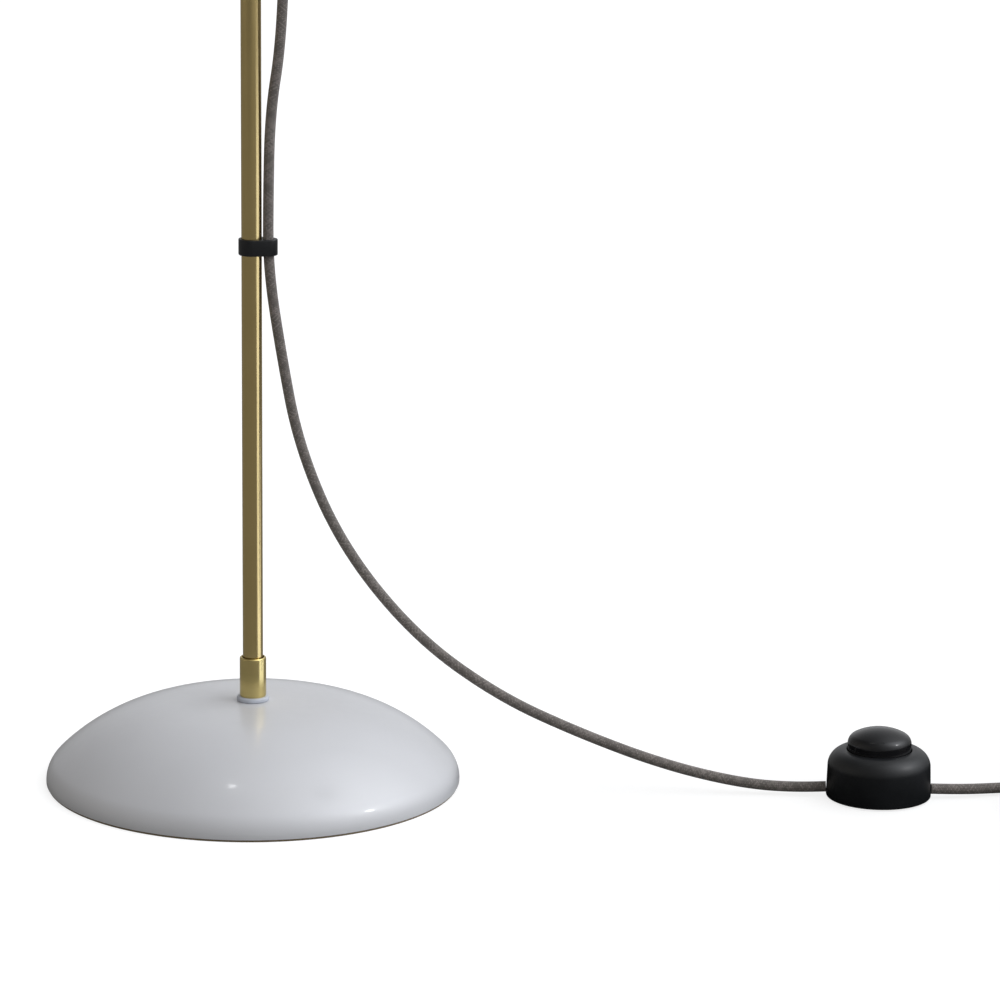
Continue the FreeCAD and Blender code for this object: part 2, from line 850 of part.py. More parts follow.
def make_knuckle(end_x, end_z):
    """Forked end of the arm, its screw, its nut and the friction washers."""
    lean = Rotation(Vector(0, 1, 0), SIZES["arc_sweep"] - 180)
    radius = size.fork_radius
    shank = size.pole_radius - size.tube_wall - 0.2
    shank_long = 8
    neck = turned("fork_neck", [
        (0, -size.fork_reach + radius + 0.4),
        (radius, -size.fork_reach + radius + 0.4),
        (radius, -0.05),
        (shank, -0.05),
        (shank, shank_long),
        (0, shank_long),
    ], listed=False)
    cheeks = []
    for side in (-1, 1):
        low_y = 2.6 if side > 0 else -5.8
        cheek = rod(f"fork_cheek_{side}", radius - 0.6, 3.2, y=low_y + 3.2, z=-size.fork_reach,
                    turn=ALONG_FRONT, listed=False)
        web = block(f"fork_web_{side}", 2 * radius - 1.2, 3.2, size.fork_reach - 5,
                    x=-(radius - 0.6), y=low_y, z=-size.fork_reach, listed=False)
        cheeks += [cheek, web]
    fork = doc.addObject("Part::MultiFuse", "fork_solid")
    fork.Shapes = [neck] + cheeks
    pin_hole = rod("fork_pin_hole", 2.5, 20, y=10, z=-size.fork_reach, turn=ALONG_FRONT, listed=False)
    flex_hole = rod("fork_flex_hole", 3.3, 30, z=-size.fork_reach + radius - 0.1, listed=False)
    bores = doc.addObject("Part::MultiFuse", "fork_bores")
    bores.Shapes = [pin_hole, flex_hole]
    arm_fork = doc.addObject("Part::Cut", "arm_fork")
    arm_fork.Base = fork
    arm_fork.Tool = bores
    place(arm_fork, end_x, 0, end_z, lean)
    finish("arm_fork", arm_fork)

    lean_angle = size.arc_sweep - 180
    pivot_x = end_x - size.fork_reach * sine(lean_angle)
    pivot_z = end_z - size.fork_reach * cosine(lean_angle)
    pin = 2.45
    screw = turned("pivot_screw_blank", [
        (0, -8.4),
        (3.4, -8.4),
        (4.4, -7.4, 1.0),
        (4.4, -5.85),
        (pin, -5.85),
        (pin, 10.4),
        (pin - 0.6, 11),
        (0, 11),
    ], pivot_x, 0, pivot_z, ALONG_BACK, listed=False)
    slot = block("screw_slot", 1, 1.2, 10, pivot_x - 0.5, -9, pivot_z - 5, listed=False)
    cut = doc.addObject("Part::Cut", "pivot_screw")
    cut.Base = screw
    cut.Tool = slot
    finish("pivot_screw", cut)
    hex_nut("pivot_nut", 8, 2.5, 4, pivot_x, 5.85, pivot_z, ALONG_BACK)
    washers = []
    for side in (-1, 1):
        washers.append(turned(f"friction_washer_{side}", [
            (2.5, -0.12),
            (5.6, -0.12),
            (5.6, 0.12),
            (2.5, 0.12),
        ], pivot_x, side * 2.42, pivot_z, ALONG_BACK, listed=False))
    grouped("friction_washers", washers)
    return pivot_x, pivot_z


def make_inner_flex():
    """The flex inside the block and the arm, with a break at the swivel."""
    gland_x = SIZES["gland_x"]
    low = SIZES["block_z"] - 26.0
    base = SIZES["block_z"] + SIZES["block_tall"] + SIZES["lid_thick"]
    flex_gap = 0.3
    cord("block_flex", [
        (gland_x, 0, low),
        (gland_x, 0, base - 26),
        (0, 0, base - 20.5),
        (0, 0, base - flex_gap),
    ], size.flex_radius)
    seat = base + 7
    centre_z = seat + SIZES["arc_foot"]
    radius = SIZES["arc_radius"]
    last = math.radians(SIZES["arc_sweep"] - 1)
    foot = Vector(0, 0, base + flex_gap)
    bend = Vector(0, 0, centre_z)
    middle = Vector(radius * (1 - math.cos(last / 2)), 0, centre_z + radius * math.sin(last / 2))
    end = Vector(radius * (1 - math.cos(last)), 0, centre_z + radius * math.sin(last))
    wire = Part.Wire([Part.LineSegment(foot, bend).toShape(), Part.Arc(bend, middle, end).toShape()])
    face = Part.Face(Part.Wire(Part.Circle(foot, Vector(0, 0, 1), SIZES["flex_radius"]).toShape()))
    thing = doc.addObject("Part::Feature", "arm_flex")
    thing.Shape = wire.makePipe(face)
    finish("arm_flex", thing)


# ---- shade and lamp holder, each about the shade's own upright axis ----

def make_shade(x, z):
    disc = rod("tongue_disc", 6.2, 4, x, -2, z, ALONG_BACK, listed=False)
    neck = block("tongue_neck", 9, 4, 12, x - 4.5, -2, z - 12, listed=False)
    boss = turned("tongue_boss", [
        (0, -11),
        (7.5, -11),
        (7.5, -12.95),
        (4.9, -12.95),
        (4.9, -41),
        (0, -41),
    ], x, 0, z, listed=False)
    solid = doc.addObject("Part::MultiFuse", "tongue_solid")
    solid.Shapes = [disc, neck, boss]
    eye = rod("tongue_eye", 2.5, 10, x, -5, z, ALONG_BACK, listed=False)
    channel = rod("tongue_channel", 3.3, 29, x, 0, z - 42, listed=False)
    bores = doc.addObject("Part::MultiFuse", "tongue_bores")
    bores.Shapes = [eye, channel]
    tongue = doc.addObject("Part::Cut", "shade_tongue")
    tongue.Base = solid
    tongue.Tool = bores
    finish("shade_tongue", tongue)

    turned("shade_cap", [
        (5, -13),
        (8.5, -13),
        (19, -27.5, -17.5),
        (19, -32.2),
        (17.9, -32.2),
        (17.9, -27.7),
        (8.1, -14.2, 16.4),
        (5, -14.2),
    ], x, 0, z)

    apex = size.shade_apex
    crown_z = apex - size.shade_crown
    gap = size.shade_crown - size.shade_corner
    inset = size.shade_radius - size.shade_corner
    corner_z = crown_z + root(gap * gap - inset * inset)
    thin = size.shade_thick
    hole = sized(5)

    def touch(crown):
        return inset * crown / gap, crown_z + (corner_z - crown_z) * crown / gap

    outer = size.shade_crown
    inner = size.shade_crown - thin
    outer_touch = touch(outer)
    inner_touch = touch(inner)
    low = corner_z - size.shade_lip
    turned("shade", [
        (hole, crown_z + root(outer * outer - hole * hole)),
        (outer_touch[0], outer_touch[1], -outer),
        (size.shade_radius, corner_z, -size.shade_corner),
        (size.shade_radius, low),
        (size.shade_radius - thin, low),
        (size.shade_radius - thin, corner_z),
        (inner_touch[0], inner_touch[1], size.shade_corner - thin),
        (hole, crown_z + root(inner * inner - hole * hole), inner),
    ], x, 0, z)

    under = apex - thin - 0.4
    hex_nut("shade_nut", 16, 4.95, 2.8, x, 0, z + under - 2.8)
    make_lamp_holder(x, z)
    rod("head_flex", size.flex_radius, 44, x, 0, z - 57)


def make_lamp_holder(x, z):
    turned("holder_cap", [
        (4.95, -36),
        (8, -36),
        (17.5, -45.5, -9.5),
        (17.5, -53),
        (15.5, -53),
        (15.5, -45.5),
        (8, -38, 7.5),
        (4.95, -38),
    ], x, 0, z)
    turned("holder_shell", [
        (14.3, -53.1),
        (17.2, -53.1),
        (18.6, -54.5),
        (18.6, -76),
        (17.6, -77, -1),
        (14.3, -77),
    ], x, 0, z)
    turned("holder_insulator", [
        (0, -57.5),
        (14.2, -57.5),
        (14.2, -62),
        (0, -62),
    ], x, 0, z)
    rod("holder_contact", 4, 0.9, x, 0, z - 62.95)
    turned("bulb_cap", [
        (0, -63),
        (4.5, -63),
        (9, -65),
        (13, -66.5),
        (13, -86),
        (0, -86),
    ], x, 0, z)
    bulb = sized(22.5)
    centre = sized(-108)
    neck = sized(12.4)
    glass = 1.0
    inner = bulb - glass
    inner_neck = neck - glass
    turned("bulb_glass", [
        (neck, -86.05),
        (neck, centre + root(bulb * bulb - neck * neck)),
        (bulb, centre, -bulb),
        (0, centre - bulb, -bulb),
        (0, centre - inner),
        (inner, centre, inner),
        (inner_neck, centre + root(inner * inner - inner_neck * inner_neck), inner),
        (inner_neck, -86.05),
    ], x, 0, z)


# ---- foot switch ----

def make_switch():
    x, y = size.switch_x, size.switch_y
    radius = size.switch_radius
    wall = size.switch_wall
    side = radius - 0.6
    shoulder = size.switch_shoulder
    top = size.switch_shoulder_z + shoulder
    mouth = size.button_radius + 0.5
    floor_gap = sized(1)

    shell = turned("switch_shell", [
        (radius - 0.8, floor_gap),
        (radius, floor_gap + 0.8, 0.8),
        (side, size.switch_shoulder_z),
        (side - shoulder, top, shoulder),
        (mouth, top),
        (mouth, top - wall),
        (side - shoulder, top - wall),
        (side - wall, size.switch_shoulder_z, -(shoulder - wall)),
        (radius - wall, floor_gap),
    ], x, y, listed=False)
    entry = rod("entry_bore", size.cord_radius + size.cord_fit, 2 * radius + 4,
                x - radius - 2, y, size.entry_z, ALONG_X, listed=False)
    housing = doc.addObject("Part::Cut", "switch_housing")
    housing.Base = shell
    housing.Tool = entry
    finish("switch_housing", housing)

    plate_top = sized(2.5)
    turned("switch_plate", [
        (0, floor_gap),
        (radius - wall - 0.1, floor_gap),
        (radius - wall - 0.1, plate_top),
        (0, plate_top),
    ], x, y)
    feet = []
    for n in range(3):
        angle = math.radians(90 + 120 * n)
        foot = rod(f"switch_foot_{n}", 5, 0.95, x + 21 * math.cos(angle), y + 21 * math.sin(angle),
                   0.02, listed=False)
        feet.append(foot)
    grouped("switch_feet", feet)
    screws = []
    for n in range(3):
        angle = math.radians(30 + 120 * n)
        screws.append(rod(f"plate_screw_{n}", 1.5, 9, x + 24 * math.cos(angle),
                          y + 24 * math.sin(angle), plate_top + 0.02, listed=False))
    grouped("plate_screws", screws)

    block("switch_module", 16, 14, size.module_tall, x - 8, y - 7, plate_top)
    for label, wide, tall, offset in (("switch_terminals", 8, 5, 12), ("cord_clamps", 3, 3, 24)):
        pair = []
        for way in (-1, 1):
            middle = x + way * offset
            low = plate_top if label == "switch_terminals" else size.entry_z + size.cord_radius + 0.1
            pair.append(block(f"{label}_{way}", 6, wide, tall, middle - 3, y - wide / 2, low,
                              listed=False))
        grouped(label, pair)
    clamp_screws = []
    for way in (-1, 1):
        for edge in (-1, 1):
            clamp_screws.append(rod(f"clamp_screw_{way}_{edge}", 1.2, 10, x + way * 24,
                                    y + edge * 5.5, plate_top + 0.02, listed=False))
    grouped("clamp_screws", clamp_screws)

    make_button(x, y, top, plate_top + size.module_tall)


def make_button(x, y, housing_top, module_top):
    radius = size.button_radius
    cap = size.button_cap
    cap_base = size.button_top - cap
    dome = (radius * radius + cap * cap) / (2 * cap)
    flange_top = housing_top - size.switch_wall - 0.3
    skin = 2.0
    inside = dome - skin
    centre = size.button_top - dome
    stem = 3.0
    stem_low = module_top + size.press + 0.3
    turned("switch_button", [
        (0, size.button_top),
        (radius, cap_base, -dome),
        (radius, flange_top),
        (radius + 2, flange_top),
        (radius + 2, flange_top - 1.5),
        (radius - skin, flange_top - 1.5),
        (radius - skin, centre + root(inside * inside - (radius - skin) * (radius - skin))),
        (stem, centre + root(inside * inside - stem * stem), inside),
        (stem, stem_low),
        (0, stem_low),
    ], x, y)

    make_button_spring(x.value, y.value, module_top, inside, centre)


def make_button_spring(x, y, module_top, roof_radius, roof_centre):
    """Coil spring from the switch module to the inside of the button's dome."""
    spring_radius = 5.3
    wire = sized(0.55)
    turns = 6
    corners = 8
    end_gap = 0.4
    reach = spring_radius + wire
    roof = roof_centre + root(roof_radius * roof_radius - reach * reach)
    low = (module_top + wire + end_gap).value
    rise = (roof - wire - end_gap).value - low
    count = turns * corners
    points = []
    for n in range(count + 1):
        angle = 2 * math.pi * n / corners
        points.append((
            x + spring_radius * math.cos(angle),
            y + spring_radius * math.sin(angle),
            low + rise * n / count,
        ))
    cord("button_spring", points, wire)


# ---- the whole lamp ----

def write_parts():
    doc.recompute()
    for thing in doc.Objects:
        bad = {"Invalid", "Error"} & set(thing.State)
        if bad:
            raise ValueError(f"{thing.Name} is {thing.State}")
    os.makedirs("parts", exist_ok=True)
    for label, thing in nodes.items():
        shape = thing.Shape
        if shape.isNull() or not shape.isValid() or shape.Volume < 0.1:
            raise ValueError(f"{label} has no valid shape")
        box = shape.BoundBox
        print(f"{label:18s} {len(shape.Solids)} solid(s) {shape.Volume / 1000:9.2f} cm3"
              f"  z {box.ZMin:8.2f} to {box.ZMax:8.2f}")
        shape.exportStep(os.path.join("parts", f"{label}.step"))
    print(len(nodes), "sub-parts written")


make_base()
make_pole()
make_cord_clip("lower_cord_clip", size.clip_z)
make_cord_clip("upper_cord_clip", size.clip_z + size.clip_pitch)
make_junction()
make_gland()
arm_end = make_arm()
pivot = make_knuckle(*arm_end)
make_inner_flex()
make_shade(*pivot)
make_switch()
make_cords()
make_plug()
write_parts()
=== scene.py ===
import math
import bmesh
import bpy
from mathutils import Matrix, Vector


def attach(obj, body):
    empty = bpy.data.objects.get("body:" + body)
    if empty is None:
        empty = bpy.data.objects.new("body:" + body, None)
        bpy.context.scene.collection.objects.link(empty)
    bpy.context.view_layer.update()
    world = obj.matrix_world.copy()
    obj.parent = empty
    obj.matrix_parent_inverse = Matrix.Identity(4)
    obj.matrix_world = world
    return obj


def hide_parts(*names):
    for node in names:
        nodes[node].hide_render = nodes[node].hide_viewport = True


# Arc floor lamp: domed enamel base, brass pole and arc, dome shade, fabric cord with a foot switch.
# The frame is in metres. Outlines are drawn in millimetres and scaled when the piece is made.

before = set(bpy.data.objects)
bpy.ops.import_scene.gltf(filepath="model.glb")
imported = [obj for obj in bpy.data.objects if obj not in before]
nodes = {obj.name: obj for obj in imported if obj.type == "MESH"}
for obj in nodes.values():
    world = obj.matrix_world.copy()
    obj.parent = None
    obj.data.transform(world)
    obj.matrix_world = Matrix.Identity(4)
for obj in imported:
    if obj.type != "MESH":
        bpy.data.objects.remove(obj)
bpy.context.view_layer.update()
mm = 0.001
headX, headZ = 538.815, 1334.376  # pivot of the shade
weldGap = 0.0004    # points closer than this become one
levelGap = 1e-5     # an edge lies level when its ends differ by less
rimAngle = 1.0      # radians between two faces at a rim
upright = Matrix.Rotation(math.radians(90), 4, "X")    # stands a flat outline up in the XZ plane


# camera

cameraView = {
    "place": (0.2956, -3.0, 0.9197),
    "down": 13.786,    # degrees below level
    "turn": -2.736,    # degrees from +Y towards +X
    "roll": 0.5,
    "lens": 181.73,
    "sensor": 36.0,
    "nearest": 0.05,
    "furthest": 60,
}


def placeCamera():
    down, turn, roll = (math.radians(cameraView[key]) for key in ("down", "turn", "roll"))
    ahead = Vector((math.sin(turn) * math.cos(down), math.cos(turn) * math.cos(down), -math.sin(down)))
    right = Vector((math.cos(turn), -math.sin(turn), 0))
    up = right.cross(ahead)
    right, up = right * math.cos(roll) + up * math.sin(roll), up * math.cos(roll) - right * math.sin(roll)
    data = bpy.data.cameras.new("lampCamera")
    data.lens = cameraView["lens"]
    data.sensor_width = cameraView["sensor"]
    data.clip_start = cameraView["nearest"]
    data.clip_end = cameraView["furthest"]
    camera = bpy.data.objects.new("lampCamera", data)
    bpy.context.scene.collection.objects.link(camera)
    facing = Matrix((right, up, -ahead)).transposed().to_4x4()
    camera.matrix_world = Matrix.Translation(cameraView["place"]) @ facing
    bpy.context.scene.camera = camera


placeCamera()
print("camera placed")


# node and material helpers: noise counts waves per metre, and bump depths are in metres

def startMaterial(name, **settings):
    material = bpy.data.materials.new(name)
    material.use_nodes = True
    tree = material.node_tree
    shader = tree.nodes["Principled BSDF"]
    for socket, value in settings.items():
        shader.inputs[socket.replace("_", " ")].default_value = value
    return material, tree, shader


# an input is given by its name, or by i and its number
def addNode(tree, kind, settings=None, **inputs):
    node = tree.nodes.new(kind)
    for key, value in (settings or {}).items():
        setattr(node, key, value)
    for key, value in inputs.items():
        socket = node.inputs[int(key[1:])] if key[0] == "i" and key[1:].isdigit() else node.inputs[key]
        if isinstance(value, bpy.types.NodeSocket):
            tree.links.new(value, socket)
        else:
            socket.default_value = value
    return node


def objectPlace(tree, scale=(1, 1, 1), coords="Object"):
    source = addNode(tree, "ShaderNodeTexCoord")
    mapping = addNode(tree, "ShaderNodeMapping", Vector=source.outputs[coords], Scale=scale)
    return mapping.outputs["Vector"]


def noise(tree, place, scale, detail=3.0, rough=0.55):
    node = addNode(tree, "ShaderNodeTexNoise", Vector=place, Scale=scale, Detail=detail, Roughness=rough)
    return node.outputs["Fac"]


def spread(tree, value, low, high, fromLow=0.3, fromHigh=0.7):
    node = addNode(tree, "ShaderNodeMapRange", i0=value, i1=fromLow, i2=fromHigh, i3=low, i4=high)
    return node.outputs["Result"]


def twoTone(tree, value, dark, light, low=0.3, high=0.7):
    ramp = addNode(tree, "ShaderNodeValToRGB", Fac=value)
    ramp.color_ramp.elements[0].position = low
    ramp.color_ramp.elements[1].position = high
    ramp.color_ramp.elements[0].color = (*dark, 1)
    ramp.color_ramp.elements[1].color = (*light, 1)
    return ramp.outputs["Color"]


def bump(tree, shader, height, strength, depth):
    node = addNode(tree, "ShaderNodeBump", Height=height, Strength=strength, Distance=depth)
    tree.links.new(node.outputs["Normal"], shader.inputs["Normal"])


# finishes

def enamelPaint(name, dark, light, rough=(0.30, 0.38)):
    material, tree, shader = startMaterial(name, Coat_Weight=0.35, Coat_Roughness=0.09)
    place = objectPlace(tree)
    tone = noise(tree, place, 9.0)
    tree.links.new(twoTone(tree, tone, dark, light), shader.inputs["Base Color"])
    tree.links.new(spread(tree, noise(tree, place, 140.0), *rough), shader.inputs["Roughness"])
    bump(tree, shader, noise(tree, place, 420.0, 2.0), 0.06, 0.0003)
    return material


# grain is in waves per metre along each axis
def metal(name, dark, light, rough, grain, strength=0.12, coords="Object"):
    material, tree, shader = startMaterial(name, Metallic=1.0)
    lines = noise(tree, objectPlace(tree, grain, coords=coords), 1.0, 4.0, 0.6)
    patina = noise(tree, objectPlace(tree), 22.0, 4.0)
    tree.links.new(twoTone(tree, patina, dark, light), shader.inputs["Base Color"])
    tree.links.new(spread(tree, lines, *rough), shader.inputs["Roughness"])
    bump(tree, shader, lines, strength, 0.00005)
    return material


def mouldedPlastic(name, dark, light, rough, grain=900.0, strength=0.15, coat=0.0, shine=0.5):
    material, tree, shader = startMaterial(name, Coat_Weight=coat, Coat_Roughness=0.05,
                                           Specular_IOR_Level=shine)
    place = objectPlace(tree)
    tree.links.new(twoTone(tree, noise(tree, place, 30.0), dark, light), shader.inputs["Base Color"])
    tree.links.new(spread(tree, noise(tree, place, 60.0), *rough), shader.inputs["Roughness"])
    bump(tree, shader, noise(tree, place, grain, 2.0), strength, 0.0001)
    return material


def softCloth(name, dark, light, grain, strength):
    material, tree, shader = startMaterial(name, Roughness=0.95, Sheen_Weight=0.3)
    place = objectPlace(tree)
    fibres = noise(tree, place, grain, 5.0, 0.7)
    tree.links.new(twoTone(tree, fibres, dark, light), shader.inputs["Base Color"])
    bump(tree, shader, fibres, strength, 0.0004)
    return material


def wovenTape(name, dark, light, thread):
    material, tree, shader = startMaterial(name, Roughness=0.9, Sheen_Weight=0.2)
    place = objectPlace(tree, (1 / thread,) * 3)
    across = addNode(tree, "ShaderNodeTexWave", {"bands_direction": "X"}, Vector=place, Scale=0.5)
    along = addNode(tree, "ShaderNodeTexWave", {"bands_direction": "DIAGONAL"}, Vector=place, Scale=0.35)
    weave = addNode(tree, "ShaderNodeMath", {"operation": "MULTIPLY"},
                    i0=across.outputs["Fac"], i1=along.outputs["Fac"])
    tree.links.new(twoTone(tree, weave.outputs[0], dark, light, 0.0, 0.8), shader.inputs["Base Color"])
    bump(tree, shader, weave.outputs[0], 0.5, 0.0003)
    return material


braid = {
    "strands": 12,      # diagonals round the cord, each way
    "pitch": 0.0145,    # one strand's way along the cord for a full turn
    # colours run from the grooves between the yarns up to their crowns; the darker grooves are painted shade
    "dark": (0.085, 0.074, 0.066),
    "mid": (0.162, 0.143, 0.129),
    "light": (0.270, 0.240, 0.218),
}


# two families of diagonal yarns on the cord's own UV: u in metres along, v round it
def braidedFabric():
    material, tree, shader = startMaterial("cordBraid", Roughness=0.82, Sheen_Weight=0.25)
    coords = addNode(tree, "ShaderNodeTexCoord")
    parts = addNode(tree, "ShaderNodeSeparateXYZ", Vector=coords.outputs["UV"])

    def maths(operation, first, second=None, third=None):
        values = {f"i{n}": v for n, v in enumerate((first, second, third)) if v is not None}
        return addNode(tree, "ShaderNodeMath", {"operation": operation}, **values).outputs[0]

    around = maths("MULTIPLY", parts.outputs["Y"], float(braid["strands"]))
    along = maths("MULTIPLY", parts.outputs["X"], braid["strands"] / braid["pitch"])
    leftYarn = maths("ADD", around, along)
    rightYarn = maths("SUBTRACT", around, along)
    leftRound = maths("ABSOLUTE", maths("SINE", maths("MULTIPLY", leftYarn, math.pi)))
    rightRound = maths("ABSOLUTE", maths("SINE", maths("MULTIPLY", rightYarn, math.pi)))
    turns = maths("ADD", maths("FLOOR", leftYarn), maths("FLOOR", rightYarn))
    over = maths("PINGPONG", turns, 1.0)
    height = addNode(tree, "ShaderNodeMix", {"data_type": "FLOAT"}, i0=over, i2=leftRound, i3=rightRound)
    yarn = addNode(tree, "ShaderNodeMix", {"data_type": "FLOAT"}, i0=over,
                   i2=maths("FLOOR", leftYarn), i3=maths("FLOOR", rightYarn))
    tint = addNode(tree, "ShaderNodeTexWhiteNoise", {"noise_dimensions": "1D"}, W=yarn.outputs[0])
    # each yarn is coloured darker towards its edges, where the grooves are, and lighter on its crown:
    # painted shade in the grooves. Each yarn takes a darker or a lighter tone at random.
    shade = twoTone(tree, height.outputs[0], braid["dark"], braid["mid"], 0.05, 0.75)
    bright = twoTone(tree, height.outputs[0], braid["mid"], braid["light"], 0.05, 0.75)
    pick = spread(tree, tint.outputs["Value"], 0.0, 1.0, 0.35, 0.9)
    colour = addNode(tree, "ShaderNodeMix", {"data_type": "RGBA"}, i0=pick, i6=shade, i7=bright)
    tree.links.new(colour.outputs[2], shader.inputs["Base Color"])
    bump(tree, shader, height.outputs[0], 0.7, 0.0003)
    return material


def opalGlass():
    material, tree, shader = startMaterial("opalGlass", Roughness=0.22, Subsurface_Weight=0.6,
                                           Subsurface_Scale=0.004, Coat_Weight=0.6, Coat_Roughness=0.04)
    tone = noise(tree, objectPlace(tree), 60.0)
    tree.links.new(twoTone(tree, tone, (0.86, 0.86, 0.83), (0.90, 0.90, 0.87)), shader.inputs["Base Color"])
    return material


# each finish: its dark and light tints, its roughness and then its grain
tubeBrass = (0.52, 0.395, 0.165), (0.57, 0.435, 0.19), (0.17, 0.25)

finishes = {
    "enamel": enamelPaint("enamel", (0.60, 0.603, 0.62), (0.63, 0.633, 0.65)),
    "shadeInside": enamelPaint("shadeInside", (0.78, 0.78, 0.76), (0.82, 0.82, 0.80), (0.5, 0.6)),
    "poleBrass": metal("poleBrass", *tubeBrass, (1500, 1500, 14)),
    "arcBrass": metal("arcBrass", *tubeBrass, (14, 60, 1), 0.12, "UV"),
    "turnedBrass": metal("turnedBrass", (0.575, 0.46, 0.185), (0.63, 0.505, 0.215), (0.21, 0.27),
                         (60, 60, 1400), 0.03),
    "collarGrey": mouldedPlastic("collarGrey", (0.50, 0.53, 0.59), (0.57, 0.60, 0.66), (0.35, 0.45)),
    "castIron": metal("castIron", (0.05, 0.05, 0.055), (0.11, 0.11, 0.11), (0.6, 0.8), (300, 300, 300), 0.6),
    "zincSteel": metal("zincSteel", (0.45, 0.46, 0.47), (0.62, 0.63, 0.65), (0.28, 0.42), (700, 700, 700)),
    "screwBrass": metal("screwBrass", (0.49, 0.37, 0.16), (0.58, 0.45, 0.21), (0.22, 0.34),
                        (1200, 1200, 1200)),
    "felt": softCloth("felt", (0.13, 0.095, 0.05), (0.30, 0.23, 0.13), 900.0, 0.9),
    "satinBlack": mouldedPlastic("satinBlack", (0.0065, 0.007, 0.008), (0.0095, 0.0105, 0.012), (0.34, 0.42),
                                 shine=0.36),
    "glossBlack": mouldedPlastic("glossBlack", (0.007, 0.007, 0.008), (0.010, 0.010, 0.011), (0.16, 0.24),
                                 500.0, 0.04, coat=0.10, shine=0.3),
    "nylon": mouldedPlastic("nylon", (0.62, 0.61, 0.56), (0.72, 0.71, 0.66), (0.4, 0.5)),
    "softRubber": mouldedPlastic("softRubber", (0.018, 0.018, 0.018), (0.035, 0.035, 0.035), (0.7, 0.85),
                                 700.0, 0.4),
    "innerSheath": mouldedPlastic("innerSheath", (0.05, 0.05, 0.05), (0.09, 0.09, 0.09), (0.5, 0.6)),
    "nickel": metal("nickel", (0.58, 0.56, 0.52), (0.70, 0.68, 0.64), (0.10, 0.20), (400, 400, 2200)),
    "porcelain": mouldedPlastic("porcelain", (0.74, 0.73, 0.70), (0.80, 0.79, 0.76), (0.12, 0.2),
                                200.0, 0.05),
    "tieTape": wovenTape("tieTape", (0.008, 0.008, 0.009), (0.035, 0.035, 0.038), 0.0011),
    "braid": braidedFabric(),
    "opalGlass": opalGlass(),
}
print("finishes made:", len(finishes))


# piece helpers

def finishPiece(name, bm, body, finish, replaced=(), sharp=38, unit=mm):
    bmesh.ops.scale(bm, vec=(unit,) * 3, verts=bm.verts)
    mesh = bpy.data.meshes.new(name)
    bm.to_mesh(mesh)
    bm.free()
    for one in [finish] if isinstance(finish, str) else finish:
        mesh.materials.append(finishes[one])
    mesh.shade_smooth()
    mesh.set_sharp_from_angle(angle=math.radians(sharp))
    piece = bpy.data.objects.new(name, mesh)
    bpy.context.scene.collection.objects.link(piece)
    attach(piece, body)
    if replaced:
        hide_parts(*([replaced] if isinstance(replaced, str) else replaced))
    return piece


def soften(bm, geom, width, segments=4, affect="EDGES"):
    bmesh.ops.bevel(bm, geom=geom, offset=width, offset_type="OFFSET", segments=segments, profile=0.5,
                    affect=affect, material=-1, clamp_overlap=affect == "EDGES")


def vertsOf(items):
    return [item for item in items if isinstance(item, bmesh.types.BMVert)]


def lastVert(made):
    return vertsOf(made["geom_last"])[0]


# points are (radius, height) or (radius, height, corner), and an arc is ("arc", centre, degrees, steps)
def drawOutline(bm, outline):
    first = last = None
    corners = []
    for item in outline:
        if item[0] == "arc":
            made = bmesh.ops.spin(bm, geom=[last], cent=(item[1][0], 0, item[1][1]), axis=(0, 1, 0),
                                  angle=math.radians(item[2]), steps=item[3])
            last = lastVert(made)
            continue
        vert = bm.verts.new((item[0], 0, item[1]))
        if last:
            bm.edges.new((last, vert))
        if len(item) > 2:
            corners.append((vert, item[2]))
        first = first or vert
        last = vert
    if first.co.x + last.co.x > 0:   # an outline that starts and ends on the axis stays open there
        bm.edges.new((last, first))
    for vert, width in corners:
        soften(bm, [vert], width, 5, "VERTICES")


def latheMesh(outline, steps=96):
    bm = bmesh.new()
    drawOutline(bm, outline)
    bmesh.ops.spin(bm, geom=bm.verts[:] + bm.edges[:], cent=(0, 0, 0), axis=(0, 0, 1),
                   angle=2 * math.pi, steps=steps, use_merge=True)
    bmesh.ops.remove_doubles(bm, verts=bm.verts, dist=weldGap)
    bmesh.ops.recalc_face_normals(bm, faces=bm.faces)
    return bm


def moved(bm, at=(0, 0, 0), turn=None):
    matrix = Matrix.Translation(at) @ (turn or Matrix.Identity(4))
    bmesh.ops.transform(bm, matrix=matrix, verts=bm.verts)
    return bm


def withMesh(bm, other):   # adds the other mesh and frees it
    shape = bpy.data.meshes.new("part")
    other.to_mesh(shape)
    other.free()
    bm.from_mesh(shape)
    bpy.data.meshes.remove(shape)
    return bm


def turnedPiece(name, outline, body, finish, replaced=(), at=(0, 0, 0), turn=None, steps=96,
                sharp=38):
    bm = moved(latheMesh(outline, steps), at, turn)
    return finishPiece(name, bm, body, finish, replaced, sharp)


# a flat outline of (x, y) points, some rounded by a radius, raised from low to high with soft edges
def slabMesh(points, low, high, corner=0.6, rounds=()):
    bm = bmesh.new()
    verts = [bm.verts.new((x, y, low)) for x, y in points]
    for n, vert in enumerate(verts):
        bm.edges.new((vert, verts[(n + 1) % len(verts)]))
    for n, radius in rounds:
        soften(bm, [verts[n]], radius, 10, "VERTICES")
    face = bmesh.ops.contextual_create(bm, geom=bm.edges[:])["faces"]
    made = bmesh.ops.extrude_face_region(bm, geom=face)
    bmesh.ops.translate(bm, vec=(0, 0, high - low), verts=vertsOf(made["geom"]))
    bmesh.ops.recalc_face_normals(bm, faces=bm.faces)
    flat = [edge for edge in bm.edges if abs(edge.verts[0].co.z - edge.verts[1].co.z) < levelGap]
    soften(bm, flat, corner)
    return bm


# cords: the route's points are the control points of one smooth spline

cordRadius = 3.25 * mm

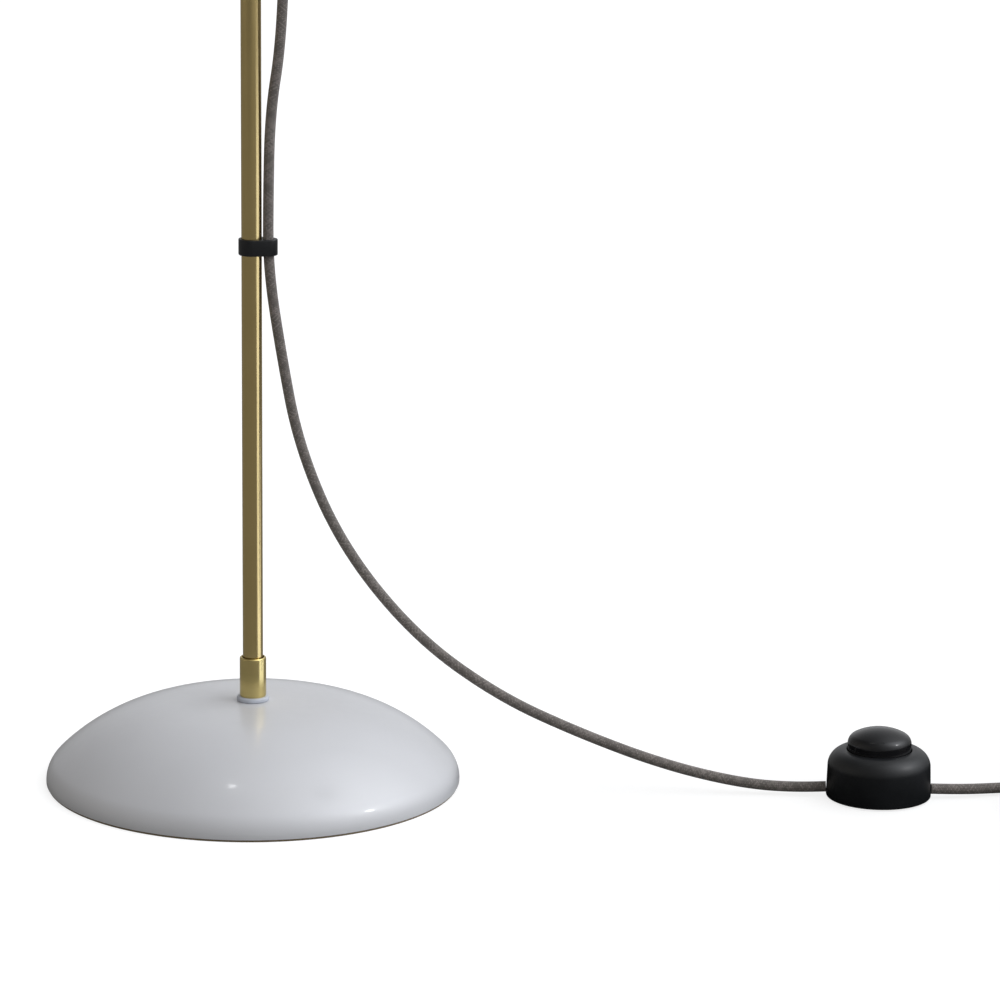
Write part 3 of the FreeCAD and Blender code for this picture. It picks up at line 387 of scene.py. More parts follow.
lampCordRoute = [
    (0.0220, 0.0, 1.0740), (0.0220, 0.0, 1.0340), (0.0206, 0.0004, 0.9700), (0.0146, 0.0006, 0.9180),
    (0.0102, 0.0, 0.8690), (0.0102, 0.0, 0.8070), (0.0134, -0.0004, 0.7420), (0.0186, -0.0006, 0.6720),
    (0.0212, -0.0004, 0.5980), (0.0208, 0.0, 0.5300), (0.0182, 0.0002, 0.4620), (0.0114, 0.0002, 0.4200),
    (0.0102, 0.0, 0.3660), (0.0102, 0.0, 0.3240), (0.0174, -0.0001, 0.2750), (0.0286, -0.0002, 0.2140),
    (0.0550, -0.0006, 0.1520), (0.1000, -0.0012, 0.0960), (0.1520, -0.0018, 0.0585),
    (0.2050, -0.0024, 0.0350), (0.2550, -0.0030, 0.0172), (0.3000, -0.0036, 0.0070),
    (0.3340, -0.0041, 0.0044), (0.3557, -0.0043, 0.0058),
]

mainsCordStart = [
    (0.4205, -0.0043, 0.0058), (0.4390, -0.0026, 0.0052), (0.4650, 0.0064, 0.0042), (0.4940, 0.0134, 0.0041),
]
mainsCordEnd = [(0.5630, -0.0040, 0.0042), (0.5780, -0.0210, 0.0056), (0.5850, -0.0420, 0.00685)]

coil = {
    "centre": (0.5200, -0.0184),
    "inner": 0.0327,
    "outer": 0.0394,
    "levels": (0.0041, 0.0108, 0.0175),
    "start": -90.0,
    "step": 30,        # degrees between points
    "reach": 1 / 0.966,    # control points stand outside the circle that they draw
    # each stage: last angle, radius at its end, level at its end
    "stages": [
        (170, "inner", 0), (220, "inner", 1), (530, "inner", 1), (580, "inner", 2), (1025, "inner", 2),
        (1070, "outer", 2), (1340, "outer", 2), (1380, "outer", 1), (1700, "outer", 1), (1740, "outer", 0),
    ],
}


# clockwise from above: up the inside, over, and down the outside
def coilTurns():
    points = []
    angle, radius, level = coil["start"], coil["inner"], coil["levels"][0]
    for end, ring, height in coil["stages"]:
        newRadius, newLevel = coil[ring], coil["levels"][height]
        count = max(1, round((end - angle) / coil["step"]))
        for n in range(1, count + 1):
            share = n / count
            at = -math.radians(angle + (end - angle) * share)
            out = (radius + (newRadius - radius) * share) * coil["reach"]
            points.append((coil["centre"][0] + out * math.cos(at), coil["centre"][1] + out * math.sin(at),
                           level + (newLevel - level) * share))
        angle, radius, level = float(end), newRadius, newLevel
    return points


def smoothLine(route, detail):
    curve = bpy.data.curves.new("route", "CURVE")
    curve.dimensions = "3D"
    curve.resolution_u = detail
    spline = curve.splines.new("NURBS")
    spline.points.add(len(route) - 1)
    for point, place in zip(spline.points, route):
        point.co = (*place, 1)
    spline.order_u = 3
    spline.use_endpoint_u = True
    holder = bpy.data.objects.new("route", curve)
    bpy.context.scene.collection.objects.link(holder)
    bpy.context.view_layer.update()
    line = bpy.data.meshes.new_from_object(holder)
    places = [vert.co.copy() for vert in line.vertices]
    bpy.data.objects.remove(holder)
    bpy.data.curves.remove(curve)
    bpy.data.meshes.remove(line)
    return places


# a frame at each place, carried along without twist
def lineFrames(places):
    frames = []
    side = Vector((0, 1, 0))
    for n, place in enumerate(places):
        along = (places[min(n + 1, len(places) - 1)] - places[max(n - 1, 0)]).normalized()
        side = (side - along * side.dot(along)).normalized()
        facing = Matrix((side, along.cross(side), along)).transposed().to_4x4()
        frames.append(Matrix.Translation(place) @ facing)
    return frames


def fabricCord(name, route, replaced, detail=10, sides=20):
    places = smoothLine(route, detail)
    frames = lineFrames(places)
    bm = bmesh.new()
    stations = bm.verts.layers.float.new("along")
    ring = bmesh.ops.create_circle(bm, segments=sides, radius=cordRadius, matrix=frames[0])
    edges = list({edge for vert in ring["verts"] for edge in vert.link_edges})
    along = 0.0
    for before, after in zip(frames, frames[1:]):
        along += (after.translation - before.translation).length
        made = bmesh.ops.extrude_edge_only(bm, edges=edges)["geom"]
        verts = vertsOf(made)
        edges = [item for item in made if isinstance(item, bmesh.types.BMEdge)]
        bmesh.ops.transform(bm, matrix=after @ before.inverted(), verts=verts)
        for vert in verts:
            vert[stations] = along
    layBraid(bm, stations, frames, sides)
    bmesh.ops.holes_fill(bm, edges=[edge for edge in bm.edges if edge.is_boundary])
    bmesh.ops.recalc_face_normals(bm, faces=bm.faces)
    piece = finishPiece(name, bm, "stand", "braid", replaced, 60, 1.0)
    print(name, "length", round(along, 4))
    return piece, places


def layBraid(bm, stations, frames, sides):
    layer = bm.loops.layers.uv.new("UVMap")
    bm.verts.index_update()
    bm.verts.ensure_lookup_table()
    turnsRound = {}
    for vert in bm.verts:
        local = frames[vert.index // sides].inverted() @ vert.co
        turnsRound[vert.index] = math.atan2(local.y, local.x) / (2 * math.pi) % 1.0
    for face in bm.faces:
        values = [turnsRound[loop.vert.index] for loop in face.loops]
        wraps = max(values) - min(values) > 0.5
        for loop, value in zip(face.loops, values):
            loop[layer].uv = (loop.vert[stations], value + 1 if wraps and value < 0.5 else value)


lampCord, lampCordLine = fabricCord("lampCord", lampCordRoute, "lamp_cord")
mainsCord, mainsCordLine = fabricCord("mainsCord", mainsCordStart + coilTurns() + mainsCordEnd,
                                      ("mains_cord", "cord_coil", "plug_tail"), 6)
print("cords laid")


# base

dome = {
    "rim": 128.3,
    "top": 52.17,
    "hole": 5.6,
    "crown": (0, -502.8),           # centre of each arc, from the top out to the rim
    "crownRadius": 555.0,
    "crownTurn": 5,                 # degrees that the arc goes round
    "flank": (37.869, -69.953),
    "flankTurn": 40,
    "rimCorner": (110.348, 2.525),
    "rimTurn": 48.3,
    "inside": [(126.75, 1.5), (126.6, 6.0), (120.5, 15.4), (100.0, 31.0), (48.0, 48.3), (5.6, 50.4)],
    "padInset": 0.6,
    "padTop": 1.48,
}


def makeBase():
    holeAngle = math.degrees(math.asin(dome["hole"] / dome["crownRadius"]))
    turnedPiece("baseShell", [
        (dome["hole"], dome["top"]),
        ("arc", dome["crown"], dome["crownTurn"] - holeAngle, 10),
        ("arc", dome["flank"], dome["flankTurn"], 40),
        ("arc", dome["rimCorner"], dome["rimTurn"], 16),
        *dome["inside"],
    ], "stand", "enamel", "base_shell", steps=192, sharp=45)
    edge, top = dome["rim"] - dome["padInset"], dome["padTop"]
    turnedPiece("basePad", [(0, 0), (edge, 0, 0.5), (edge, top, 0.3), (0, top)],
                "stand", "felt", "base_pad", steps=160)


makeBase()


# pole, collar and ferrule

pole = {
    "radius": 6.25,
    "wall": 1.25,
    "fit": 0.05,                      # play between the pole and what slides on it
    "collar": (10.0, 52.25, 55.0),    # radius, foot and top
    "ferrule": (8.2, 55.0, 80.0),
    "slot": (0.62, 2.4),              # width and depth of the gap at the ferrule's top
    "foot": 52.26,
    "joint": (588.0, 591.0),
    "jointBore": 5.0,
    "groove": (0.55, 0.4),            # half width and depth
    "top": 1110.0,
}


def makeCollar(bore):
    radius, low, high = pole["collar"]
    turnedPiece("poleCollar", [
        (bore, low), (radius - 0.3, low, 0.2), (radius, low + 0.5, 0.3), (radius, high, 0.9), (bore, high),
    ], "stand", "collarGrey", "pole_collar", steps=96)


def makeFerrule(bore):
    radius, low, high = pole["ferrule"]
    wide, deep = pole["slot"]
    turnedPiece("poleFerrule", [
        (bore, low + 0.02), (radius - 0.35, low + 0.02), (radius - 0.35, low + 0.45),
        (radius, low + 0.6, 0.2), (radius, high, 1.0), (bore + wide, high, 0.15),
        (bore + wide, high - deep), (bore, high - deep - 0.2),
    ], "stand", "turnedBrass", "pole_ferrule", steps=96)


def makePole():
    outer, inner = pole["radius"], pole["radius"] - pole["wall"]
    low, high = pole["joint"]
    for name, node, foot, top in (("lowerPole", "lower_pole", pole["foot"], low),
                                  ("upperPole", "upper_pole", high, pole["top"])):
        turnedPiece(name, [(inner, foot), (outer, foot, 0.12), (outer, top, 0.12), (inner, top)],
                    "stand", "poleBrass", node, steps=64)
    middle = sum(pole["joint"]) / 2
    half, deep = pole["groove"]
    turnedPiece("poleJoint", [
        (pole["jointBore"], low), (outer, low, 0.15), (outer, middle - half, 0.12),
        (outer - deep, middle, 0.1), (outer, middle + half, 0.12), (outer, high, 0.15),
        (pole["jointBore"], high),
    ], "stand", "turnedBrass", "pole_joiner", steps=64)


makeCollar(pole["radius"] + pole["fit"])
makeFerrule(pole["radius"] + pole["fit"])
makePole()


# bands that hold the cord to the pole

clip = {
    "middles": (338.0, 838.0),
    "tall": 10.0,
    "poleSide": (0.0, 8.05),    # place along x and outer radius
    "cordSide": (10.2, 5.75),
    "poleHole": 6.27,
    "cordHole": 3.32,
    "edge": 0.7,
}


# a closed outline round two circles on the x axis
def bandOutline(first, second, steps=24):
    (x1, r1), (x2, r2) = first, second
    lean = math.asin((r1 - r2) / (x2 - x1))
    bm = bmesh.new()
    start = bm.verts.new((x1 + r1 * math.sin(lean), r1 * math.cos(lean), 0))
    made = bmesh.ops.spin(bm, geom=[start], cent=(x1, 0, 0), axis=(0, 0, 1),
                          angle=math.pi + 2 * lean, steps=steps)
    other = bm.verts.new((x2 + r2 * math.sin(lean), -r2 * math.cos(lean), 0))
    bm.edges.new((lastVert(made), other))
    made = bmesh.ops.spin(bm, geom=[other], cent=(x2, 0, 0), axis=(0, 0, 1),
                          angle=math.pi - 2 * lean, steps=steps)
    bm.edges.new((lastVert(made), start))
    return bm


# fills the outlines, raises them and softens the rims of both ends
def raised(bm, low, high, corner):
    bmesh.ops.translate(bm, vec=(0, 0, low), verts=bm.verts)
    faces = bmesh.ops.triangle_fill(bm, use_beauty=True, edges=bm.edges[:], normal=(0, 0, 1))
    flat = [item for item in faces["geom"] if isinstance(item, bmesh.types.BMFace)]
    made = bmesh.ops.extrude_face_region(bm, geom=flat)
    bmesh.ops.translate(bm, vec=(0, 0, high - low), verts=vertsOf(made["geom"]))
    bmesh.ops.recalc_face_normals(bm, faces=bm.faces)
    rims = [edge for edge in bm.edges if len(edge.link_faces) == 2 and edge.calc_face_angle(0) > rimAngle
            and abs(edge.verts[0].co.z - edge.verts[1].co.z) < levelGap]
    soften(bm, rims, corner)
    return bm


def addCircle(bm, x, y, radius, segments=40):
    bmesh.ops.create_circle(bm, segments=segments, radius=radius, matrix=Matrix.Translation((x, y, 0)))


def makeClips():
    half = clip["tall"] / 2
    for name, node, middle in (("lowerCordClip", "lower_cord_clip", clip["middles"][0]),
                               ("upperCordClip", "upper_cord_clip", clip["middles"][1])):
        bm = bandOutline(clip["poleSide"], clip["cordSide"])
        addCircle(bm, 0, 0, clip["poleHole"])
        addCircle(bm, clip["cordSide"][0], 0, clip["cordHole"])
        raised(bm, -half, half, clip["edge"])
        moved(bm, (0, 0, middle))
        finishPiece(name, bm, "stand", "satinBlack", node)


makeClips()
print("base, pole and clips made")


# foot switch

footSwitch = {
    "place": (388.1, -4.3, 0),
    "foot": 1.0,
    "radius": 32.4,
    "side": 31.8,          # radius where the side meets the shoulder
    "shoulderZ": 20.0,
    "shoulder": 10.6,
    "mouth": 20.2,
    "wall": 2.0,
    "roof": 2.2,
}

switchTop = footSwitch["shoulderZ"] + footSwitch["shoulder"]

switchCap = {
    "radius": 19.7,
    "top": 44.0,
    "edge": 34.4,
    "round": 6.2,
    "flange": (21.6, switchTop - 2.6, switchTop - 3.8),    # radius, top and underside
    "skin": 2,
    "roof": switchTop + 9.4,
}


def makeHousing():
    side, shoulder, mouth = footSwitch["side"], footSwitch["shoulder"], footSwitch["mouth"]
    low, high = footSwitch["foot"], footSwitch["shoulderZ"]
    inside, roof = side - footSwitch["wall"], switchTop - footSwitch["roof"]
    turnedPiece("switchHousing", [
        (footSwitch["radius"], low, 0.9),
        (side, high),
        ("arc", (side - shoulder, high), -90, 18),
        (mouth, switchTop, 0.35),
        (mouth, roof),
        (inside - 8.0, roof),
        (inside, high - 2),
        (inside + 0.4, low),
    ], "stand", "satinBlack", "switch_housing", footSwitch["place"], steps=128)


# the crown's arc and the shoulder's arc meet without a corner
def makeButton():
    radius, shoulder, top, edge = (switchCap[key] for key in ("radius", "round", "top", "edge"))
    flange, flangeTop, flangeFoot = switchCap["flange"]
    rise, reach = top - edge, radius - shoulder
    crown = (reach * reach + rise * rise - shoulder * shoulder) / (2 * (rise - shoulder))
    lean = math.degrees(math.asin(reach / (crown - shoulder)))
    turnedPiece("switchButton", [
        (0, top),
        ("arc", (0, top - crown), lean, 16),
        ("arc", (reach, edge), 90 - lean, 16),
        (radius, flangeTop),
        (flange, flangeTop),
        (flange, flangeFoot),
        (radius - switchCap["skin"], flangeFoot),
        (radius - switchCap["skin"] - 0.2, switchTop + 1.0),
        (0, switchCap["roof"]),
    ], "button", "glossBlack", "switch_button", footSwitch["place"], steps=128, sharp=30)


makeHousing()
makeButton()


# plug, its strain relief and its pins; the plug points to -Y

plug = {
    "place": (585.0, -68.0),
    "thick": 13.7,
    "round": 3.0,
    "outline": [
        (-8, 0), (-9.5, -6), (-17.4, -22), (-17.4, -35.95), (17.4, -35.95), (17.4, -22), (9.5, -6), (8, 0),
    ],
    "grips": 4,
    "gripPlace": (-13.5, -3.6),    # first ridge and step to the next
    "gripReach": (9, 1.2),         # half length of the first and what each next one adds
    "gripHalf": 0.7,
    "ribs": 6,
    "ribPlace": (2.4, 3.9),
    "ribRadius": (6.1, 0.066),     # radius at the plug and what it loses for each millimetre
    "reliefBore": 3.3,
    "pinOffset": 9.5,
    "pinRadius": 2.0,
    "pinNeck": 1.85,
    "pinLong": 19,
}


def makePlugBody(x, y):
    bm = slabMesh(plug["outline"], 0.02, plug["thick"] - 0.02, plug["round"], [(3, 3), (4, 3)])
    finishPiece("plugBody", moved(bm, (x, y, 0)), "stand", "satinBlack", "plug_body", 30)


# raised finger ridges on the top face
def makeGrips(x, y):
    (first, step), (shortest, longer), half = plug["gripPlace"], plug["gripReach"], plug["gripHalf"]
    for n in range(plug["grips"]):
        depth, reach = first + step * n, shortest + longer * n
        low, high = depth - half, depth + half
        corners = [(-reach, low), (reach, low), (reach, high), (-reach, high)]
        bm = slabMesh(corners, plug["thick"] - 0.6, plug["thick"] + 0.35, 0.3)
        finishPiece(f"plugGrip{n + 1}", moved(bm, (x, y, 0)), "stand", "satinBlack", ())


# ribs and gaps that thin towards the cord
def makePlugRelief(place):
    bore, (first, step), (widest, taper) = plug["reliefBore"], plug["ribPlace"], plug["ribRadius"]
    outline = [(bore, 0.1), (6.2, 0.1, 0.3)]
    for n in range(plug["ribs"]):
        at = first + n * step
        outer = widest - at * taper
        outline += [(outer, at, 0.25), (outer - 1.1, at + 0.3, 0.2), (outer - 1.15, at + 1.6, 0.2),
                    (outer - 0.15, at + 1.9, 0.25)]
    outline += [(4.3, 25.9, 0.3), (bore, 25.9)]
    turnedPiece("plugRelief", outline, "stand", "satinBlack", "plug_relief", place,
                Matrix.Rotation(math.radians(-90), 4, "X"), 48)


def makePins(x, y, z):
    radius, neck, long = plug["pinRadius"], plug["pinNeck"], plug["pinLong"]
    pins = bmesh.new()
    for side in (-1, 1):
        pin = latheMesh([(0, 0.05), (radius, 0.05), (radius, 9.0, 0.1), (neck, 9.1), (neck, 9.6),
                         (radius, 9.7, 0.1), (radius, long, 1.0), (0, long)], 40)
        withMesh(pins, moved(pin, (x + side * plug["pinOffset"], y - 36, z), upright))
    finishPiece("plugPins", pins, "stand", "nickel", "plug_pins")


def makePlug():
    x, y = plug["place"]
    middle = plug["thick"] / 2
    makePlugBody(x, y)
    makeGrips(x, y)
    makePlugRelief((x, y, middle))
    makePins(x, y, middle)


makePlug()


# tie round the coil

tie = {
    "x": 520.0,
    "wide": 12.0,
    "strap": 0.8,
    "inner": -47.3,
    "outer": -62.0,
    "low": 0.9,
    "high": 21.0,
    "corner": 2.4,
}


# a closed strap in the YZ plane, thick outwards
def strapRing(halfX, low, high, near, far, thick, corner):
    bm = bmesh.new()
    verts = [bm.verts.new((-halfX, y, z)) for y, z in ((far, low), (near, low), (near, high), (far, high))]
    for n, vert in enumerate(verts):
        bm.edges.new((vert, verts[(n + 1) % 4]))
    for vert in verts:
        soften(bm, [vert], corner, 6, "VERTICES")
    made = bmesh.ops.extrude_edge_only(bm, edges=bm.edges[:])
    bmesh.ops.translate(bm, vec=(2 * halfX, 0, 0), verts=vertsOf(made["geom"]))
    bmesh.ops.recalc_face_normals(bm, faces=bm.faces)
    centre = Vector((0, (near + far) / 2, (low + high) / 2))
    face = bm.faces[:][0]
    face.normal_update()
    if face.normal.dot(face.calc_center_median() - centre) > 0:    # faces in, so the finished wall faces out
        bmesh.ops.reverse_faces(bm, faces=bm.faces)
    bmesh.ops.solidify(bm, geom=bm.faces[:], thickness=thick)
    return bm


def makeTie():
    bm = strapRing(tie["wide"] / 2, tie["low"], tie["high"], tie["inner"], tie["outer"], tie["strap"],
                   tie["corner"])
    finishPiece("coilTie", moved(bm, (tie["x"], 0, 0)), "stand", "tieTape", "coil_tie")


makeTie()
print("switch, plug and tie made")


# junction block, lid and the strain relief under it

junction = {
    "poleLobe": (0.0, 13.0),    # place along x and radius
    "noseLobe": (22.0, 11.0),
    "low": 1100.0,
    "high": 1148.0,
    "lidTop": 1153.0,
    "lidHole": 7.6,
    "lidEdge": 0.7,
    "gap": 0.05,
    "edge": 0.9,
    "glandBore": 3.35,
    "glandFoot": -26,           # below the block
    "glandHead": [(5.7, -6.0, 0.3), (7.0, -5.6, 0.5), (7.0, -0.1, 0.4), (3.35, -0.1)],
    "glandRibs": 5,
    "ribPlace": (-24.4, 3.6),   # first rib and step to the next
    "ribRadius": (4.28, 0.075),    # radius at the foot and what it gains for each millimetre
}


def makeGland():
    bore, foot = junction["glandBore"], junction["glandFoot"]
    (first, step), (thinnest, taper) = junction["ribPlace"], junction["ribRadius"]
    outline = [(bore, foot), (4.2, foot, 0.3)]
    for n in range(junction["glandRibs"]):
        at = first + n * step
        outer = thinnest + (at - foot) * taper
        outline += [(outer, at, 0.2), (outer - 0.8, at + 0.25, 0.2), (outer - 0.75, at + 1.5, 0.2),
                    (outer + 0.15, at + 1.75, 0.2)]
    turnedPiece("cordGland", outline + junction["glandHead"], "stand", "satinBlack", "cord_gland",
                (junction["noseLobe"][0], 0, junction["low"]), steps=56)


def makeJunction():
    lobes, gap = (junction["poleLobe"], junction["noseLobe"]), junction["gap"]
    bm = raised(bandOutline(*lobes, 32), junction["low"], junction["high"] - gap, junction["edge"])
    finishPiece("junctionBlock", bm, "stand", "turnedBrass", "junction_block")
    bm = bandOutline(*lobes, 32)
    addCircle(bm, 0, 0, junction["lidHole"])
    raised(bm, junction["high"] + gap, junction["lidTop"], junction["lidEdge"])
    finishPiece("junctionLid", bm, "stand", "turnedBrass", "junction_lid")
    makeGland()


makeJunction()


# arm: socket, arc and fork

arm = {
    "foot": 1160.0,
    "bendFoot": 1204.0,
    "bend": 285.0,
    "sweep": 150.0,
    "radius": 6.25,
    "sides": 40,
    "bendSteps": 150,
    "weld": 0.001,
    "socket": [
        (3.6, 1142.0), (5.5, 1142.0), (5.5, 1153.6), (12.0, 1153.6, 0.4), (12.0, 1158.0, 1.1),
        (9.0, 1158.2, 0.5), (9.0, 1173.2, 0.15), (8.55, 1173.5, 0.1), (8.55, 1174.1, 0.1),
        (9.0, 1174.4, 0.15), (9.0, 1179.0, 1.1), (6.3, 1179.0), (6.3, 1160.0), (3.6, 1160.0),
    ],
    "forkRadius": 7.2,
    "forkTail": -6.4,
    "cheekRadius": 6.6,
    "cheeks": (2.6, 5.8),
    "forkReach": 14.0,
}


def makeArc():
    bm = bmesh.new()
    ring = bmesh.ops.create_circle(bm, segments=arm["sides"], radius=arm["radius"],
                                   matrix=Matrix.Translation((0, 0, arm["foot"])))
    edges = list({edge for vert in ring["verts"] for edge in vert.link_edges})
    made = bmesh.ops.extrude_edge_only(bm, edges=edges)["geom"]
    bmesh.ops.translate(bm, vec=(0, 0, arm["bendFoot"] - arm["foot"]), verts=vertsOf(made))
    bmesh.ops.spin(bm, geom=[item for item in made if not isinstance(item, bmesh.types.BMFace)],
                   cent=(arm["bend"], 0, arm["bendFoot"]), axis=(0, 1, 0), angle=math.radians(arm["sweep"]),
                   steps=arm["bendSteps"])
    bmesh.ops.remove_doubles(bm, verts=bm.verts, dist=arm["weld"])
    bmesh.ops.holes_fill(bm, edges=[edge for edge in bm.edges if edge.is_boundary])
    bmesh.ops.recalc_face_normals(bm, faces=bm.faces)
    layTubeMap(bm)
    finishPiece("arcTube", bm, "arm", "arcBrass", "arc_tube")


# u in metres along the tube, v round it
def layTubeMap(bm):
    foot, bendFoot, bend = arm["foot"], arm["bendFoot"], arm["bend"]
    layer = bm.loops.layers.uv.new("UVMap")
    for face in bm.faces:
        for loop in face.loops:
            x, y, z = loop.vert.co
            turn = max(0.0, math.atan2(z - bendFoot, bend - x))
            out = math.hypot(x - bend, z - bendFoot) if turn else bend - x
            along = bendFoot - foot + bend * turn if turn else z - foot
            loop[layer].uv = (along * mm, math.atan2(y, out - bend) / (2 * math.pi))
        sides = [loop[layer].uv.y for loop in face.loops]
        if max(sides) - min(sides) > 0.5:    # the face that closes the circle
            for loop in face.loops:
                if loop[layer].uv.y < 0:
                    loop[layer].uv.y += 1


def makeFork():
    radius, cheek, reach, tail = arm["forkRadius"], arm["cheekRadius"], arm["forkReach"], arm["forkTail"]
    bm = latheMesh([(0, tail), (radius, tail, 0.7), (radius, -0.05, 0.8), (5.2, -0.05), (0, -0.05)], 64)
    low, high = arm["cheeks"]
    corners = [(-cheek, -6.0), (-cheek, -reach - cheek), (cheek, -reach - cheek), (cheek, -6.0)]
    for start, end in ((low, high), (-high, -low)):
        plate = slabMesh(corners, -end, -start, 0.45, [(1, cheek - 0.05), (2, cheek - 0.05)])
        withMesh(bm, moved(plate, turn=upright))
    sweep = math.radians(arm["sweep"])
    lean = Matrix.Rotation(math.radians(arm["sweep"] - 180), 4, "Y")
    place = (arm["bend"] * (1 - math.cos(sweep)), 0, arm["bendFoot"] + arm["bend"] * math.sin(sweep))
    finishPiece("armFork", moved(bm, place, lean), "arm", "screwBrass", "arm_fork")


turnedPiece("armSocket", arm["socket"], "arm", "turnedBrass", "arm_socket", steps=96)
makeArc()
makeFork()
print("junction and arm made")


# shade and lamp holder, all drawn from the pivot down

shade = {
    "crown": (125.0, -156.0),           # radius and height of its centre
    "corner": (90.0, 25.0, -131.51),    # radius, centre out and centre up
    "join": 45.58,                      # angle from the top where they meet
    "lip": -134.5,
    "wall": 1.2,
    "hole": 5.0,
}


def makeShade():
    crown, crownZ = shade["crown"]
    corner, cornerX, cornerZ = shade["corner"]
    wall, join, hole = shade["wall"], shade["join"], shade["hole"]
    outerStart = math.degrees(math.asin(hole / crown))
    innerStart = math.degrees(math.asin(hole / (crown - wall)))
    rim = cornerX + corner
    bm = latheMesh([
        (hole, crownZ + math.sqrt(crown * crown - hole * hole)),
        ("arc", (0, crownZ), join - outerStart, 40),
        ("arc", (cornerX, cornerZ), 90 - join, 36),
        (rim, shade["lip"], 0.5),
        (rim - wall, shade["lip"], 0.5),
        (rim - wall, cornerZ),
        ("arc", (cornerX, cornerZ), join - 90, 36),
        ("arc", (0, crownZ), innerStart - join, 40),
    ], 160)
    heart = Vector((0, 0, crownZ))
    for face in bm.faces:    # the second finish goes inside
        face.normal_update()
        face.material_index = 1 if face.normal.dot(face.calc_center_median() - heart) < 0 else 0
    moved(bm, (headX, 0, headZ))
    finishPiece("shadeDome", bm, "head", ("enamel", "shadeInside"), "shade", 45)


def headPiece(name, outline, finish, replaced, steps=80, sharp=38):
    turnedPiece(name, outline, "head", finish, replaced, (headX, 0, headZ), None, steps, sharp)


def makeTongue():
    disc = moved(latheMesh([(0, -2), (6.2, -2, 0.4), (6.2, 2, 0.4), (0, 2)], 56), turn=upright)
    neck = slabMesh([(-4.5, -12), (4.5, -12), (4.5, -1), (-4.5, -1)], -2, 2, 0.4)
    bm = withMesh(disc, moved(neck, turn=upright))
    withMesh(bm, latheMesh([(0, -11), (7.5, -11, 0.5), (7.5, -12.95, 0.2), (0, -12.95)], 56))
    moved(bm, (headX, 0, headZ))
    finishPiece("shadeTongue", bm, "head", "screwBrass", "shade_tongue")


holder = {
    "shadeCap": [
        (5, -13), (8.5, -13, 0.3), ("arc", (1.57, -29.07), 61.5, 24), (19, -32.1, 0.3), (17.9, -32.1, 0.2),
        (17.9, -27.9), (8.1, -14.3), (5, -14.3),
    ],
    "cap": [
        (4.95, -36), (8, -36), ("arc", (8, -45.5), 90, 16), (17.5, -50.6, 0.2), (17.1, -50.9, 0.1),
        (17.1, -51.3, 0.1), (17.5, -51.6, 0.2), (17.5, -53, 0.3), (15.5, -53), (15.5, -45.5), (8, -38.2),
        (4.95, -38.2),
    ],
    "shell": (18.6, 18.0, 14.3),    # radius, radius in a grip groove and bore
    "grips": 5,
    "gripPlace": (-56.6, -3.2),     # first groove and step to the next
    "threads": 5,
    "threadPlace": (-67.4, -3.6),
    "threadRadius": (12.95, 12.1),
    "glass": [
        (0, -86.05), (12.4, -86.05, 0.3), (12.4, -89.2), ("arc", (0, -108), 146.5, 60), (0, -130.5),
    ],
}


def shellOutline():
    radius, groove, bore = holder["shell"]
    first, step = holder["gripPlace"]
    outline = [(bore, -53.1), (17.2, -53.1, 0.3), (radius, -54.6, 0.4)]
    for n in range(holder["grips"]):
        at = first + step * n
        outline += [(radius, at, 0.2), (groove, at - 0.3, 0.15), (groove, at - 0.9, 0.15),
                    (radius, at - 1.2, 0.2)]
    return outline + [(radius, -77, 0.9), (bore, -77, 0.3)]


# the bulb's cap with its rolled thread
def threadOutline():
    crest, root = holder["threadRadius"]
    first, step = holder["threadPlace"]
    outline = [(0, -63), (4.5, -63, 0.4), (9, -65, 0.5)]
    for n in range(holder["threads"]):
        at = first + step * n
        outline += [(crest, at, 0.6), (root, at - 1.8, 0.6)]
    return outline + [(12.9, -86), (0, -86)]


def makeHolder():
    headPiece("shadeCap", holder["shadeCap"], "turnedBrass", "shade_cap", 96)
    headPiece("holderCap", holder["cap"], "glossBlack", "holder_cap")
    headPiece("holderShell", shellOutline(), "glossBlack", "holder_shell")
    headPiece("bulbCap", threadOutline(), "nickel", "bulb_cap", 64, 60)
    headPiece("bulbGlass", holder["glass"], "opalGlass", "bulb_glass", 96, 60)


makeShade()
makeTongue()
makeHolder()
print("shade and lamp holder made")


# finishes of the frame's own pieces that stay as they are

nodeFinishes = {
    "castIron": ("base_weight",),
    "zincSteel": ("base_stud", "base_washer", "base_nut", "block_grub_screw", "stop_pin", "swivel_nut",
                  "swivel_washer", "shade_nut", "plate_screws", "clamp_screws", "button_spring",
                  "cord_clamps"),
    "screwBrass": ("lid_screws", "pivot_screw", "pivot_nut"),
    "satinBlack": ("gland_nut", "switch_plate", "switch_module"),
    "nylon": ("pivot_bush", "friction_washers"),
    "softRubber": ("switch_feet",),
    "innerSheath": ("block_flex", "arm_flex", "head_flex"),
    "turnedBrass": ("holder_contact", "switch_terminals"),
    "porcelain": ("holder_insulator",),
}


def finishNodes():
    for finish, names in nodeFinishes.items():
        for name in names:
            mesh = nodes[name].data
            mesh.materials.clear()
            mesh.materials.append(finishes[finish])


finishNodes()


# the pieces that lie on the mains cord: the plug, its grips and the coil's tie

plugPieces = ["plugBody", "plugRelief", "plugPins", "coilTie"]
plugPieces += [f"plugGrip{n + 1}" for n in range(plug["grips"])]


# studio: pale floor and soft light, strongest from the right

